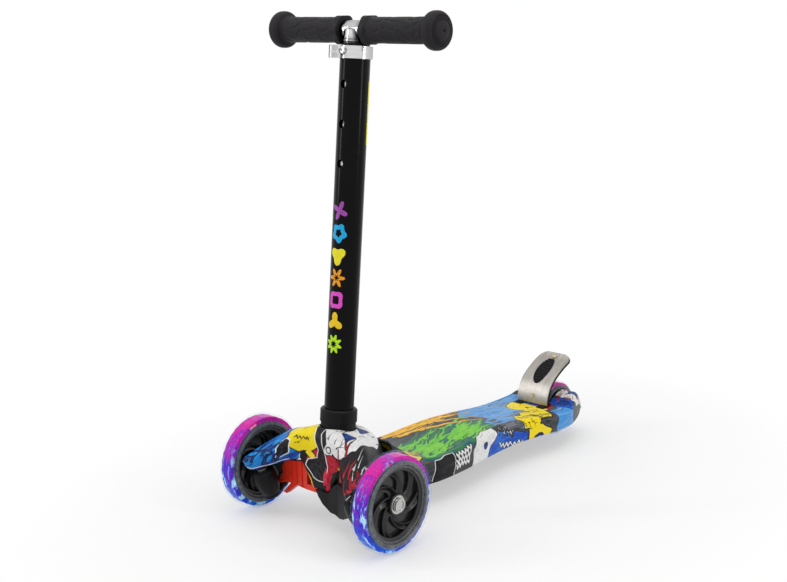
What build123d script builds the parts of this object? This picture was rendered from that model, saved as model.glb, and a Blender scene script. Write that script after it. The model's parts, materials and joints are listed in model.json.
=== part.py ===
from build123d import *
import os
from math import cos, radians, sin

# A three-wheeled lean-to-steer kick scooter.  Millimetres, +Z up, the rider faces -Y and the
# rider's left is +X.  The origin lies on the ground, halfway between the front of the front tyres
# and the back of the rear tyre.  Leaning the deck turns two knuckles about inclined kingpins.

# ---------------------------------------------------------------- driving sizes
front_radius = 60.0
front_width = 24.0
front_track = 224.0
rear_radius = 40.0
rear_width = 28.0
wheelbase = 471.0

rake = 5.34                 # lean of the steering column, degrees back from upright
column_foot_y = -195.2      # a point on the column's axis, at the top of its foot collar
column_foot_z = 148.5
tube_outer = 18.0           # radii of the fixed black tube
tube_wall = 2.0
tube_bottom = -64.0         # stations along the column's axis, from the foot collar's top
hole_radius = 4.8
lowest_hole = 290.0
hole_pitch = 46.0
travel = 130.0              # how far the T-bar draws out
hole_edge = 6.0             # the highest hole's axis to the tube's end
tube_top = lowest_hole + travel + hole_edge

stem_radius = 14.7
stem_wall = 1.6
stem_bottom = 210.0
bar_rise = 18.4             # the tube's end to the crossbar's axis
stem_top = tube_top + bar_rise
bar_radius = 11.5
bar_half = 122.0
grip_radius = 15.0
grip_inner = 17.0
grip_outer = 133.0
grip_flange = 17.2
grip_bulb = 22.0

deck_wall = 3.2
deck_front = -146.0
deck_back = 283.0
deck_corner = 6.0

brake_half = 26.0
brake_travel = 12.0         # degrees
plate_thickness = 1.5
backing_thickness = 3.6

king_x = 80.0               # kingpin axis: a point on it, and its forward lean
king_y = -248.0
king_z = 54.0
king_lean = 22.0
king_radius = 4.0
steer_arm = 22.0            # kingpin axis to tie pin

nose_wall = 2.8

slot_half = rear_width / 2 + 3.5
pocket_front = 186.5        # the brake's pocket ahead of the rear wheel
pocket_back = 208.0
pocket_half = brake_half + 1.6
pivot_y = 196.0
pivot_z = 50.0
pivot_radius = 3.0
pivot_half = 35.0
pivot_boss = 7.0
pivot_reach = 38.0
axle_radius = 4.0
axle_head = 7.0
axle_boss = 12.0
axle_seat = 37.0            # where the rear axle's heads bear, from the middle
under_z = 30.0              # the flat underside
under_floor = 33.0
screw_boss = 4.5
screw_radius = 1.8
screw_bite = 14.0
screw_head = 4.0
screw_head_depth = 1.8
under_front = -92.0
under_back = 178.0
rib = 2.4
pocket_x = 25.0
pocket_y = 30.0
pad_top = 41.0              # the underframe's front pad, under the beam's tongue
bolt_x = 11.0
bolt_y = -108.0
bolt_radius = 3.0
bolt_head = 5.4
bolt_head_depth = 4.0
tongue_half = 17.0
socket_outer = 22.3
socket_floor = 5.0
socket_low = 76.0
socket_top_z = 110.0
keel_half = 13.0
keel_front = -215.0
keel_back = -168.0
keel_z = 34.0
sleeve_radius = 22.5
sleeve_bottom = -30.0
arm_root_x = 14.0
arm_root_z = 92.0
arm_root_deep = 16.0
arm_tip_z = 74.0
arm_tip_long = 14.0
arm_tip_deep = 8.0
arm_corner = 2.5
arm_root_front = -206.0
arm_root_back = -188.0
boss_radius = 7.5
boss_low = 13.3             # stations along the kingpins
boss_high = 24.0
# the guard under the nose, on the rider's left: its front outline (x, z) and its plan (x, y)
guard_face = [(-8, 48.3), (-3, 40), (5, 32), (18, 25.5), (28, 25.5), (36, 23.5), (48, 26.5), (62, 34), (62, 60),
              (48, 66), (34, 66), (24, 60), (15.5, 48.3)]
guard_plan = [(-8, -200), (-8, -231), (14, -232), (34, -235), (61, -246), (62, -238), (40, -230.5), (34, -229),
              (30, -216), (24, -200)]
guard_corner = 1.0
tie_front = -225.5
tie_back = -218.5
tie_low = 41.0
tie_high = 48.0
barrel_radius = 11.0
barrel_low = -30.0
barrel_high = 10.0
king_head = 6.5
king_head_deep = 4.0
king_nut = 2.8
king_nut_radius = 5.6
bush_low = -6.0
bush_radius = 8.0
web_inner = 80.0
web_outer = 96.0
web_corner = 4.0
web_outline = [(-254, 42), (-245, 30), (-236, 33), (-224, 48), (-214, 55), (-214, 66), (-224, 71), (-238, 66),
               (-254, 60)]
stub_radius = 10.0
stub_face = 98.0
race_seat = 6.2
axle_root = 85.0
arm_root_radius = 9.0
arm_eye = 6.5
arm_thick = 5.0
tie_pin_radius = 2.5
tie_eye = 5.5
groove_deep = 1.6
groove_pitch = 9.0
groove_wide = 3.0
hub_half = 10.0
rear_hub_half = 13.5
hub_boss = 13.0
bearing_out = 11.0
bearing_wide = 7.0
spokes = 7
spoke_half = 6.0
spoke_sweep = 1.65          # degrees of turn for each millimetre outwards
tyre_skin = 2.6
tyre_cheek = 3.2
tyre_round = 6.0
fit_gap = 0.12
front_tread = 14.0
front_rim = 3.0
rear_tread = 11.0
rear_rim = 2.5
cap_radius = 8.2
cap_deep = 3.4
plate_corner = 13.0
oval_long = 25.0
oval_wide = 10.8
rivet_radius = 2.4
rivet_places = [(198.4, 68), (251.3, 114.3)]
lug_inner = 13.0
lug_radius = 6.0
shoe_half = 11.0
shoe_root = [(214.5, 90), (226.5, 99.5), (240.5, 107), (246, 102)]
shoe_angle = 112.0          # where the shoe's flat face meets the pressed tyre, round the axle from +Y
shoe_face = 14.0            # half the face's length
pad_proud = 1.3
wire = 1.6
sleeve_step = -20.0
sleeve_top = -4.0
hole_stations = [lowest_hole + i * hole_pitch for i in range(3)] + [lowest_hole + travel]
clamp_long = 14.5
clamp_low = tube_top - clamp_long
clamp_outer = 20.4
clamp_turn = 34.0
ear_reach = 31.0
ear_wide = 13.0
ear_bolt = 2.0
ear_bolt_out = 26.0
ear_bolt_pitch = 8.0
slit = 1.6
ear_bolt_head = 3.4
ear_bolt_deep = 3.0
bush_long = 24.0
bush_foot = tube_top - bush_long
bush_flange = 1.8
bush_flange_radius = 16.4
spring_back = 12.1          # the spring's rear leaf, from the column's axis
leaf = 0.9
strip_rise = 23.0           # the lowest hole's axis to the strip's foot
strip_low = lowest_hole + strip_rise
strip_long = 74.0
strip_thick = 0.3
weld = 2.0
weld_bead = 0.9
bar_wall = 1.8
button_radius = 4.2
button_root = 7.5           # the button's inner and outer faces at rest, from the column's axis
button_face = 14.5
stem_bush_long = 18.0
flange_long = 9.0
bulb_long = 20.0
bulb_round = 6.0
grip_ribs = 10
rib_start = 32.0
rib_pitch = 7.6
pad_base = 0.4
pad_pitch = 4.4
shell_screws = [(x, y) for x in (-30, 30) for y in (-62, 50, 160)]

# clearances
seat = 0.3                  # between pieces that sit against each other
running = 0.05              # a pin in its bore, on radius
loose = 0.6                 # round a piece that only passes through
swing = 1.5                 # beside a piece that turns

# ---------------------------------------------------------------- worked-out places
front_axle_y = -(wheelbase + rear_radius - front_radius) / 2
rear_axle_y = front_axle_y + wheelbase
track_half = front_track / 2
column_dir = Vector(0, sin(radians(rake)), cos(radians(rake)))
column = Plane(origin=(0, column_foot_y, column_foot_z), x_dir=(1, 0, 0), z_dir=column_dir)
king_dir = Vector(0, -sin(radians(king_lean)), cos(radians(king_lean)))
tube_bore = tube_outer - tube_wall
column_cross = Plane(origin=column.origin - 46 * column_dir, x_dir=column.y_dir, z_dir=(1, 0, 0))


def column_front(station):
    """The plane through the column's axis at a station, looking out of its front."""
    return Plane(origin=column.origin + station * column_dir, x_dir=(1, 0, 0), z_dir=-column.y_dir)


def king_plane(side, station):
    """The plane across a kingpin at a station along it; side is +1 or -1."""
    base = Plane(origin=(side * king_x, king_y, king_z), x_dir=(1, 0, 0), z_dir=king_dir)
    return base.offset(station)


def finish(part, name):
    """Labels one sub-part and writes it."""
    part.label = name
    export_step(part, f"parts/{name}.step")


def side_plane(y, z, x=0.0):
    """A plane across X at one place, its own x along +Y."""
    return Plane(origin=(x, y, z), x_dir=(0, 1, 0), z_dir=(1, 0, 0))


os.makedirs("parts", exist_ok=True)

# ---------------------------------------------------------------- deck
# (y, half width) down the hourglass, and (y, z) along the top and the lower edge
deck_plan = [(deck_front, 36), (-118, 47), (-92, 58), (-50, 61), (0, 57), (60, 49.5), (105, 48), (150, 53),
             (192, 57.5), (222, 53), (248, 43.5), (270, 34), (deck_back, 27)]
deck_top = [(deck_front, 97), (-128, 82), (-108, 69), (-84, 63), (-40, 62.5), (20, 66.5), (80, 65), (150, 57.5),
            (195, 55.5), (220, 60), (243, 69), (260, 64), (274, 50), (deck_back, 38)]
deck_low = [(deck_front, 52), (-110, 40), (-60, 36), (20, 37), (100, 34), (180, 32), (230, 29), (262, 30),
            (deck_back, 34)]


def deck_block(inset, drop, back):
    """The deck's outer form, or that form set in by a wall, let down through the bottom, as far as y = back."""
    with BuildPart() as block:
        with BuildSketch(Plane.XY):
            with BuildLine():
                right = Spline(*[(w - inset, y) for y, w in deck_plan])
                left = Spline(*[(inset - w, y) for y, w in deck_plan])
                Line(right @ 0, left @ 0)
                Line(right @ 1, left @ 1)
            make_face()
        extrude(amount=140)
        with BuildSketch(Plane.YZ):
            with BuildLine():
                top = Spline(*[(y, z - inset) for y, z in deck_top])
                low = Spline(*[(y, z - drop) for y, z in deck_low])
                Line(top @ 0, low @ 0)
                Line(top @ 1, low @ 1)
            make_face()
        extrude(amount=80, both=True, mode=Mode.INTERSECT)
        with BuildSketch(Plane.XY):
            with Locations((0, (deck_front + back) / 2)):
                Rectangle(200, back - deck_front)
        extrude(amount=140, mode=Mode.INTERSECT)
    return block.part


def slab(x_half, y_low, y_high, z_low, z_high):
    """A plain block centred on the middle plane, used for cutting and trimming."""
    with BuildPart() as block:
        with BuildSketch(Plane.XY.offset(z_low)):
            with Locations((0, (y_low + y_high) / 2)):
                Rectangle(2 * x_half, y_high - y_low)
        extrude(amount=z_high - z_low)
    return block.part


deck_outer = deck_block(0.0, 0.0, deck_back)
deck_cavity = deck_block(deck_wall, 20.0, deck_back - 6 * deck_wall)

with BuildPart() as tail_walls:
    add(slab(slot_half + deck_wall, pocket_front, deck_back, 0, 140))
    add(slab(pocket_half + deck_wall, pocket_front - deck_wall, pocket_back + deck_wall, 0, 140))
    for side in (-1, 1):
        with BuildSketch(side_plane(rear_axle_y, rear_radius)):
            Circle(axle_boss)
        extrude(amount=side * 60)
        with BuildSketch(side_plane(pivot_y, pivot_z)):
            Circle(pivot_boss)
        extrude(amount=side * pivot_reach)
    for x, y in shell_screws:
        with BuildSketch(Plane.XY.offset(under_floor + seat)):
            with Locations((x, y)):
                Circle(screw_boss)
        extrude(amount=100)
    add(deck_outer, mode=Mode.INTERSECT)

with BuildPart() as deck_shell:
    add(deck_outer)
    rim = deck_shell.edges().filter_by(lambda e: e.center().Z > 50 and abs(e.center().X) > 20 and e.length > 200)
    fillet(rim, deck_corner)
    add(deck_cavity, mode=Mode.SUBTRACT)
    add(tail_walls.part)
    add(slab(slot_half, pocket_front, deck_back + 1, 0, 140), mode=Mode.SUBTRACT)
    add(slab(pocket_half, pocket_front, pocket_back, 0, 140), mode=Mode.SUBTRACT)
    for side in (-1, 1):
        with BuildSketch(side_plane(rear_axle_y, rear_radius)):
            Circle(axle_radius + running)
        extrude(amount=side * 60, mode=Mode.SUBTRACT)
        with BuildSketch(side_plane(rear_axle_y, rear_radius, side * axle_seat)):
            Circle(axle_head + loose)
        extrude(amount=side * 60, mode=Mode.SUBTRACT)
        with BuildSketch(side_plane(pivot_y, pivot_z)):
            Circle(pivot_radius + running)
        extrude(amount=side * (pivot_half + seat), mode=Mode.SUBTRACT)
    for x, y in shell_screws:
        with BuildSketch(Plane.XY.offset(under_floor)):
            with Locations((x, y)):
                Circle(screw_radius + running)
        extrude(amount=screw_bite, mode=Mode.SUBTRACT)
finish(deck_shell.part, "deck_shell")

# the black underframe: a flat floor with ribs standing up inside the shell
under_outer = deck_block(deck_wall + seat, 10.0, under_back)
rib_form = deck_block(deck_wall + seat + rib, 10.0, under_back - rib)

with BuildPart() as rib_pockets:
    with BuildSketch(Plane.XY.offset(under_floor)):
        with Locations((0, (under_front + under_back) / 2)):
            with GridLocations(pocket_x, pocket_y, 5, 9):
                Rectangle(pocket_x - rib, pocket_y - rib)
    extrude(amount=100)
    add(rib_form, mode=Mode.INTERSECT)

with BuildPart() as deck_underframe:
    add(under_outer)
    add(slab(200, deck_front - 1, under_back + 1, 0, under_z), mode=Mode.SUBTRACT)
    add(slab(200, deck_front - 1, under_front, pad_top, 140), mode=Mode.SUBTRACT)
    add(rib_pockets.part, mode=Mode.SUBTRACT)
    for x, y in shell_screws:
        with BuildSketch(Plane.XY.offset(under_floor)):
            with Locations((x, y)):
                Circle(screw_boss + loose)
        extrude(amount=100, mode=Mode.SUBTRACT)
        with BuildSketch(Plane.XY.offset(under_z)):
            with Locations((x, y)):
                Circle(screw_head + seat)
        extrude(amount=screw_head_depth, mode=Mode.SUBTRACT)
        with BuildSketch(Plane.XY):
            with Locations((x, y)):
                Circle(screw_radius + running)
        extrude(amount=60, mode=Mode.SUBTRACT)
    for x in (-bolt_x, bolt_x):
        with BuildSketch(Plane.XY):
            with Locations((x, bolt_y)):
                Circle(bolt_radius + running)
        extrude(amount=60, mode=Mode.SUBTRACT)
        with BuildSketch(Plane.XY.offset(under_z)):
            with Locations((x, bolt_y)):
                Circle(bolt_head + seat)
        extrude(amount=bolt_head_depth, mode=Mode.SUBTRACT)
finish(deck_underframe.part, "deck_underframe")

with BuildPart() as underframe_screws:
    for x, y in shell_screws:
        with BuildSketch(Plane.XY.offset(under_z + seat)):
            with Locations((x, y)):
                Circle(screw_head)
        extrude(amount=screw_head_depth - seat)
        with BuildSketch(Plane.XY.offset(under_z + screw_head_depth)):
            with Locations((x, y)):
                Circle(screw_radius)
        extrude(amount=under_floor - under_z + screw_bite - screw_head_depth - 1)
finish(underframe_screws.part, "underframe_screws")

# ---------------------------------------------------------------- nose and crossbeam
def tongue_outline():
    """The side outline of the beam's tongue, from the column's socket back over the underframe."""
    return [(-190, socket_low), (-190, 104), (-160, 94), (-146, 82), (-128, 69), (-108, 57), (-92, 51),
            (-92, pad_top + seat), (-128, pad_top + seat), (-150, 52), (-172, 60), (-178, socket_low)]


with BuildPart() as nose_guard:
    with BuildSketch(Plane.XY):
        with BuildLine():
            Polyline(*guard_plan, close=True)
        make_face()
    extrude(amount=80)
    fillet(nose_guard.edges().filter_by(Axis.Z).group_by(Axis.Y)[0], guard_corner)
    with BuildSketch(Plane.XZ):
        with BuildLine():
            Polyline(*guard_face, close=True)
        make_face()
    extrude(amount=300, mode=Mode.INTERSECT)
    # the tie rod's way behind the guard
    add(slab(200, tie_front - 2 * swing, 0, tie_low - swing, 80), mode=Mode.SUBTRACT)

with BuildPart() as steering_crossbeam:
    with BuildSketch(Plane.YZ):
        with BuildLine():
            Polyline(*tongue_outline(), close=True)
        make_face()
    extrude(amount=tongue_half, both=True)
    with BuildSketch(Plane.XY.offset(keel_z)):
        with Locations((0, (keel_front + keel_back) / 2)):
            Rectangle(2 * keel_half, keel_back - keel_front)
    extrude(amount=socket_top_z - keel_z - 10, taper=-4)
    with BuildSketch(column.offset(tube_bottom - socket_floor)):
        Circle(socket_outer)
    extrude(amount=socket_floor + sleeve_bottom - seat - tube_bottom)
    for side in (-1, 1):
        with BuildSketch(side_plane(0, 0, side * arm_root_x)):
            with Locations(((arm_root_front + arm_root_back) / 2, arm_root_z)):
                RectangleRounded(arm_root_back - arm_root_front, arm_root_deep, arm_corner)
        with BuildSketch(side_plane(0, 0, side * king_x)):
            with Locations((king_y - 7.5, arm_tip_z)):
                RectangleRounded(arm_tip_long, arm_tip_deep, arm_corner)
        loft()
        with BuildSketch(king_plane(side, boss_low)):
            Circle(boss_radius)
        extrude(amount=boss_high - boss_low)
    add(nose_guard.part)
    # the tie rod's way in front of the keel
    add(slab(200, tie_front - 2 * swing, tie_back + 2 * swing, tie_low - swing, 62), mode=Mode.SUBTRACT)
    with BuildSketch(column.offset(tube_bottom)):
        Circle(tube_outer + running)
    extrude(amount=100, mode=Mode.SUBTRACT)
    for side in (-1, 1):
        with BuildSketch(king_plane(side, boss_low - 20)):
            Circle(king_radius + running)
        extrude(amount=60, mode=Mode.SUBTRACT)
        with BuildSketch(king_plane(side, boss_high)):
            Circle(king_nut_radius + loose)
        extrude(amount=20, mode=Mode.SUBTRACT)
    for x in (-bolt_x, bolt_x):
        with BuildSketch(Plane.XY):
            with Locations((x, bolt_y)):
                Circle(bolt_radius + running)
        extrude(amount=56, mode=Mode.SUBTRACT)
    with BuildSketch(column_cross.offset(-socket_outer)):
        Circle(bolt_radius + running)
    extrude(amount=100, mode=Mode.SUBTRACT)
finish(steering_crossbeam.part, "steering_crossbeam")

with BuildPart() as chassis_bolts:
    for x in (-bolt_x, bolt_x):
        with BuildSketch(Plane.XY.offset(under_z + seat)):
            with Locations((x, bolt_y)):
                RegularPolygon(bolt_head, 6)
        extrude(amount=bolt_head_depth - seat)
        with BuildSketch(Plane.XY.offset(under_z + bolt_head_depth)):
            with Locations((x, bolt_y)):
                Circle(bolt_radius)
        extrude(amount=16)
finish(chassis_bolts.part, "chassis_bolts")

with BuildPart() as column_pin:
    with BuildSketch(column_cross.offset(seat - socket_outer)):
        Circle(bolt_radius)
    extrude(amount=2 * socket_outer - 2 * seat)
finish(column_pin.part, "column_pin")

# nose stations across the width: x, then (y, z) from the front lower edge over the top to the back
nose_stations = [
    (0, [(-229.5, 84), (-231, 98), (-222, 119), (-176, 121), (-150, 100), (-146, 64)]),
    (22, [(-229.5, 84), (-232, 97), (-226, 116.5), (-177, 116.5), (-151, 96), (-147, 64)]),
    (38, [(-233.5, 81), (-237, 94), (-229, 113.5), (-182, 108), (-160, 87), (-157, 64)]),
    (54, [(-245, 75.5), (-250.5, 87), (-228, 110.5), (-194, 101), (-179, 83), (-176, 67)]),
    (70, [(-257, 69), (-263, 81), (-233, 102), (-212, 95), (-200, 83), (-198, 73)]),
    (84, [(-270, 67), (-272.5, 77), (-248, 91), (-236, 87), (-232, 81), (-231, 76)]),
    (91.5, [(-271, 73.5), (-272.5, 77), (-262, 82), (-256, 81), (-253, 78), (-252, 75.5)]),
]


def inset(points, wall, drop):
    """Moves an open run of (y, z) points inwards by a wall, and lets its two ends down."""
    moved = []
    for i, (y, z) in enumerate(points):
        before = points[max(i - 1, 0)]
        after = points[min(i + 1, len(points) - 1)]
        along = Vector(after[0] - before[0], after[1] - before[1]).normalized()
        moved.append((y + wall * along.Y, z - wall * along.X))
    moved[0] = (moved[0][0], moved[0][1] - drop)
    moved[-1] = (moved[-1][0], moved[-1][1] - drop)
    return moved


def nose_half(side, wall, drop):
    """One side of the nose's form, lofted out from the middle plane."""
    with BuildPart() as half:
        for x, points in nose_stations:
            reach = x - wall if x == nose_stations[-1][0] else x
            run = inset(points, wall, drop) if wall else points
            with BuildSketch(side_plane(0, 0, side * reach)):
                with BuildLine():
                    over = Spline(*run)
                    Line(over @ 1, over @ 0)
                make_face()
        loft()
    return half.part


beak_stations = [(49, 13, -228), (56, 17.5, -229.5), (68, 25, -230.5), (84, 34, -232.5), (94, 34, -232.5)]
nose_outer = [nose_half(side, 0.0, 0.0) for side in (-1, 1)]
nose_inner = [nose_half(side, nose_wall, 12.0) for side in (-1, 1)]

with BuildPart() as beak:
    for z, half, front in beak_stations:
        with BuildSketch(Plane.XY.offset(z)):
            with Locations((0, front + nose_wall / 2)):
                Rectangle(2 * half, nose_wall)
    loft(ruled=True)

with BuildPart() as nose_cover:
    for half in nose_outer:
        add(half)
    for half in nose_inner:
        add(half, mode=Mode.SUBTRACT)
    add(beak.part)
    add(slab(100, deck_front - seat, 0, 0, 200), mode=Mode.SUBTRACT)
    with BuildSketch(column.offset(-60)):
        Circle(sleeve_radius + seat)
    extrude(amount=80, mode=Mode.SUBTRACT)
finish(nose_cover.part, "nose_cover")

# ---------------------------------------------------------------- kingpins and their bushes
with BuildPart() as kingpins:
    for side in (-1, 1):
        with BuildSketch(king_plane(side, barrel_low)):
            RegularPolygon(king_head, 6)
        extrude(amount=king_head_deep)
        with BuildSketch(king_plane(side, barrel_low + king_head_deep)):
            Circle(king_radius)
        extrude(amount=boss_high + 2 * seat + king_nut - barrel_low - king_head_deep)
finish(kingpins.part, "kingpins")

with BuildPart() as kingpin_nuts:
    for side in (-1, 1):
        with BuildSketch(king_plane(side, boss_high + seat)):
            RegularPolygon(king_nut_radius, 6)
            Circle(king_radius + running, mode=Mode.SUBTRACT)
        extrude(amount=king_nut)
finish(kingpin_nuts.part, "kingpin_nuts")

with BuildPart() as thrust_washers:
    for side in (-1, 1):
        with BuildSketch(king_plane(side, barrel_high + seat)):
            Circle(boss_radius - 0.5)
            Circle(king_radius + running, mode=Mode.SUBTRACT)
        extrude(amount=boss_low - barrel_high - 2 * seat)
finish(thrust_washers.part, "thrust_washers")

with BuildPart() as centring_bushes:
    for side in (-1, 1):
        with BuildSketch(king_plane(side, bush_low + seat)):
            Circle(bush_radius - seat)
            Circle(king_radius + running, mode=Mode.SUBTRACT)
        extrude(amount=barrel_high - bush_low - seat)
finish(centring_bushes.part, "centring_bushes")


# ---------------------------------------------------------------- knuckles, with trailing stub bosses
def knuckle(side, pin_gap):
    """One front knuckle: a barrel on the kingpin, a web to the axle boss and the steering arm."""
    with BuildPart() as body:
        with BuildSketch(king_plane(side, barrel_low)):
            Circle(barrel_radius)
        extrude(amount=barrel_high - barrel_low)
        with BuildSketch(side_plane(0, 0, side * web_inner)):
            with BuildLine():
                Polyline(*web_outline, close=True)
            make_face()
            fillet(vertices(), web_corner)
        extrude(amount=side * (web_outer - web_inner))
        with BuildSketch(side_plane(front_axle_y, front_radius, side * web_inner)):
            Circle(stub_radius)
        extrude(amount=side * (stub_face - web_inner))
        with BuildSketch(side_plane(front_axle_y, front_radius, side * web_inner)):
            Circle(race_seat)
        extrude(amount=side * (track_half - hub_half - seat - web_inner))
        with BuildSketch(king_plane(side, barrel_low)):
            Circle(arm_root_radius)
            with Locations((0, steer_arm)):
                Circle(arm_eye)
            make_hull()
        extrude(amount=arm_thick)
        with BuildSketch(king_plane(side, barrel_low)):
            Circle(king_radius + running)
        extrude(amount=60, mode=Mode.SUBTRACT)
        with BuildSketch(king_plane(side, barrel_low)):
            Circle(king_head + seat)
        extrude(amount=king_head_deep + seat, mode=Mode.SUBTRACT)
        with BuildSketch(king_plane(side, bush_low)):
            Circle(bush_radius)
        extrude(amount=30, mode=Mode.SUBTRACT)
        with BuildSketch(king_plane(side, barrel_low - 1)):
            with Locations((0, steer_arm)):
                Circle(tie_pin_radius + pin_gap)
        extrude(amount=arm_thick + 2, mode=Mode.SUBTRACT)
        with BuildSketch(side_plane(front_axle_y, front_radius, side * axle_root)):
            Circle(axle_radius + running)
        extrude(amount=side * 60, mode=Mode.SUBTRACT)
    return body.part


for side, hand, pin_gap in ((1, "left", running), (-1, "right", seat)):
    finish(knuckle(side, pin_gap), f"knuckle_{hand}")

with BuildPart() as tie_rod:
    with BuildSketch(Plane.XZ.offset(-tie_back)):
        with BuildLine():
            Polyline((-30, tie_low), (30, tie_low), (56, 43), (75.5, 40.5), (75.5, 46), (71, 52), (72, 61), (66, 70),
                     (28, 77), (28, tie_high), (-28, tie_high), (-28, 77), (-66, 70), (-72, 61), (-71, 52),
                     (-75.5, 46), (-75.5, 40.5), (-56, 43), close=True)
        make_face()
        for side in (-1, 1):
            with BuildLine():
                Polyline((side * 44, 44), (side * 56, 44), (side * 71, 28), (side * 65, 27), close=True)
            make_face()
    extrude(amount=tie_back - tie_front)
    for side in (-1, 1):
        with BuildSketch(Plane.XZ.offset(-tie_front - groove_deep)):
            with Locations(*[(side * (36 + i * groove_pitch), 62) for i in range(3)]):
                Rectangle(groove_wide, 40)
        extrude(amount=10, mode=Mode.SUBTRACT)
        with BuildSketch(king_plane(side, barrel_low + arm_thick + seat)):
            with Locations((0, steer_arm)):
                Circle(arm_eye)
        extrude(amount=tie_eye)
        with BuildSketch(king_plane(side, barrel_low)):
            with Locations((0, steer_arm)):
                Circle(tie_pin_radius + running)
        extrude(amount=40, mode=Mode.SUBTRACT)
finish(tie_rod.part, "tie_rod")

with BuildPart() as tie_pins:
    for side in (-1, 1):
        with BuildSketch(king_plane(side, barrel_low - 0.5)):
            with Locations((0, steer_arm)):
                Circle(tie_pin_radius)
        extrude(amount=arm_thick + tie_eye + seat + 1)
        with BuildSketch(king_plane(side, barrel_low + arm_thick + tie_eye + 2 * seat)):
            with Locations((0, steer_arm)):
                Circle(tie_pin_radius + 1.5)
        extrude(amount=1.4)
finish(tie_pins.part, "tie_pins")


# ---------------------------------------------------------------- wheels
def wheel(centre, radius, width, tread, rim, half, name):
    """A spoked hub, its light ring, the clear tyre over it, two bearings and four light pods.

    tread is how deep the tyre and the light ring are together, rim the hub's rim, half the hub's half width."""
    x, y, z = centre
    face = side_plane(y, z, x)
    core_in = radius - tread
    core_out = radius - tyre_skin
    core_half = width / 2 - tyre_cheek

    def ring(outer, inner, half_wide):
        with BuildPart() as band:
            with BuildSketch(face):
                Circle(outer)
                Circle(inner, mode=Mode.SUBTRACT)
            extrude(amount=half_wide, both=True)
        return band.part

    pods = [core_in + (core_out - core_in) / 2, 5.5 * radius / 60]
    with BuildPart() as hub:
        with BuildSketch(face):
            Circle(core_in - fit_gap)
            Circle(core_in - fit_gap - rim, mode=Mode.SUBTRACT)
        extrude(amount=core_half + 1, both=True)
        with BuildSketch(face):
            Circle(core_in - rim)
            Circle(core_in - rim - 4 * radius / 60, mode=Mode.SUBTRACT)
        extrude(amount=core_half - 1, both=True)
        with BuildSketch(face):
            with PolarLocations(0, spokes):
                add(spoke(hub_boss - 2, core_in - rim))
        extrude(amount=spoke_half * half / 10, both=True)
        with BuildSketch(face):
            Circle(hub_boss)
        extrude(amount=half, both=True)
        with BuildSketch(face):
            Circle(bearing_out - 2)
        extrude(amount=half + 1, both=True, mode=Mode.SUBTRACT)
        for end in (-1, 1):
            with BuildSketch(face.offset(end * half)):
                Circle(bearing_out + running)
            extrude(amount=-end * bearing_wide, mode=Mode.SUBTRACT)
    finish(hub.part, f"{name}_hub")

    with BuildPart() as core:
        add(ring(core_out - fit_gap, core_in, core_half - fit_gap))
        with BuildSketch(face):
            with PolarLocations(pods[0], 4, start_angle=20):
                Rectangle(pods[1] + 2 * fit_gap, 11 * radius / 60 + 2 * fit_gap)
        extrude(amount=width, both=True, mode=Mode.SUBTRACT)
    finish(core.part, f"{name}_light_ring")

    with BuildPart() as light_pods:
        with BuildSketch(face):
            with PolarLocations(pods[0], 4, start_angle=20):
                Rectangle(pods[1], 11 * radius / 60)
        extrude(amount=core_half - fit_gap, both=True)
    finish(light_pods.part, f"{name}_light_pods")

    with BuildPart() as tyre:
        add(ring(radius, core_in, width / 2))
        fillet(tyre.edges().filter_by(GeomType.CIRCLE).sort_by(SortBy.RADIUS)[-2:], tyre_round * width / 24)
        add(ring(core_out, core_in - 1, core_half), mode=Mode.SUBTRACT)
    finish(tyre.part, f"{name}_tyre")

    with BuildPart() as bearings:
        for end in (-1, 1):
            with BuildSketch(face.offset(end * (half - bearing_wide))):
                Circle(bearing_out)
                Circle(axle_radius + running, mode=Mode.SUBTRACT)
            extrude(amount=end * (bearing_wide - 0.2))
            with BuildSketch(face.offset(end * (half - 0.7))):
                Circle(bearing_out - 2)
                Circle(axle_radius + 2, mode=Mode.SUBTRACT)
            extrude(amount=end * 1, mode=Mode.SUBTRACT)
    finish(bearings.part, f"{name}_bearings")


def spoke(inner, outer):
    """One swept spoke: two arcs that run outwards and round together."""
    def polar(radius, angle):
        return (radius * cos(radians(angle)), radius * sin(radians(angle)))
    middle = (inner + outer) / 2
    sweep = spoke_sweep * (outer - inner)
    with BuildSketch(Plane.XY) as blade:
        with BuildLine():
            lead = ThreePointArc(polar(inner, -22), polar(middle, 0.35 * sweep - 13), polar(outer + 1, sweep - 8))
            trail = ThreePointArc(polar(inner, 22), polar(middle, 0.35 * sweep + 13), polar(outer + 1, sweep + 8))
            Line(lead @ 0, trail @ 0)
            Line(lead @ 1, trail @ 1)
        make_face()
    return blade.sketch


for side, hand in ((1, "left"), (-1, "right")):
    wheel((side * track_half, front_axle_y, front_radius), front_radius, front_width, front_tread, front_rim,
          hub_half, f"front_{hand}")
    with BuildPart() as stub_axle:
        with BuildSketch(side_plane(front_axle_y, front_radius, side * (axle_root + seat))):
            Circle(axle_radius)
        extrude(amount=side * (track_half + hub_half + seat - axle_root - seat))
        with BuildSketch(side_plane(front_axle_y, front_radius, side * (track_half + hub_half + seat))):
            Circle(cap_radius)
        extrude(amount=side * cap_deep)
        with BuildSketch(side_plane(front_axle_y, front_radius, side * (track_half + hub_half + seat + cap_deep))):
            Circle(cap_radius - 2.2)
        extrude(amount=-side * 1.2, mode=Mode.SUBTRACT)
    finish(stub_axle.part, f"axle_bolt_{hand}")

wheel((0, rear_axle_y, rear_radius), rear_radius, rear_width, rear_tread, rear_rim, rear_hub_half, "rear")

with BuildPart() as rear_axle:
    with BuildSketch(side_plane(rear_axle_y, rear_radius, -axle_seat - seat)):
        Circle(axle_radius)
    extrude(amount=2 * (axle_seat + seat))
    for side in (-1, 1):
        with BuildSketch(side_plane(rear_axle_y, rear_radius, side * (axle_seat + seat))):
            Circle(axle_head)
        extrude(amount=side * 4)
finish(rear_axle.part, "rear_axle")

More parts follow.
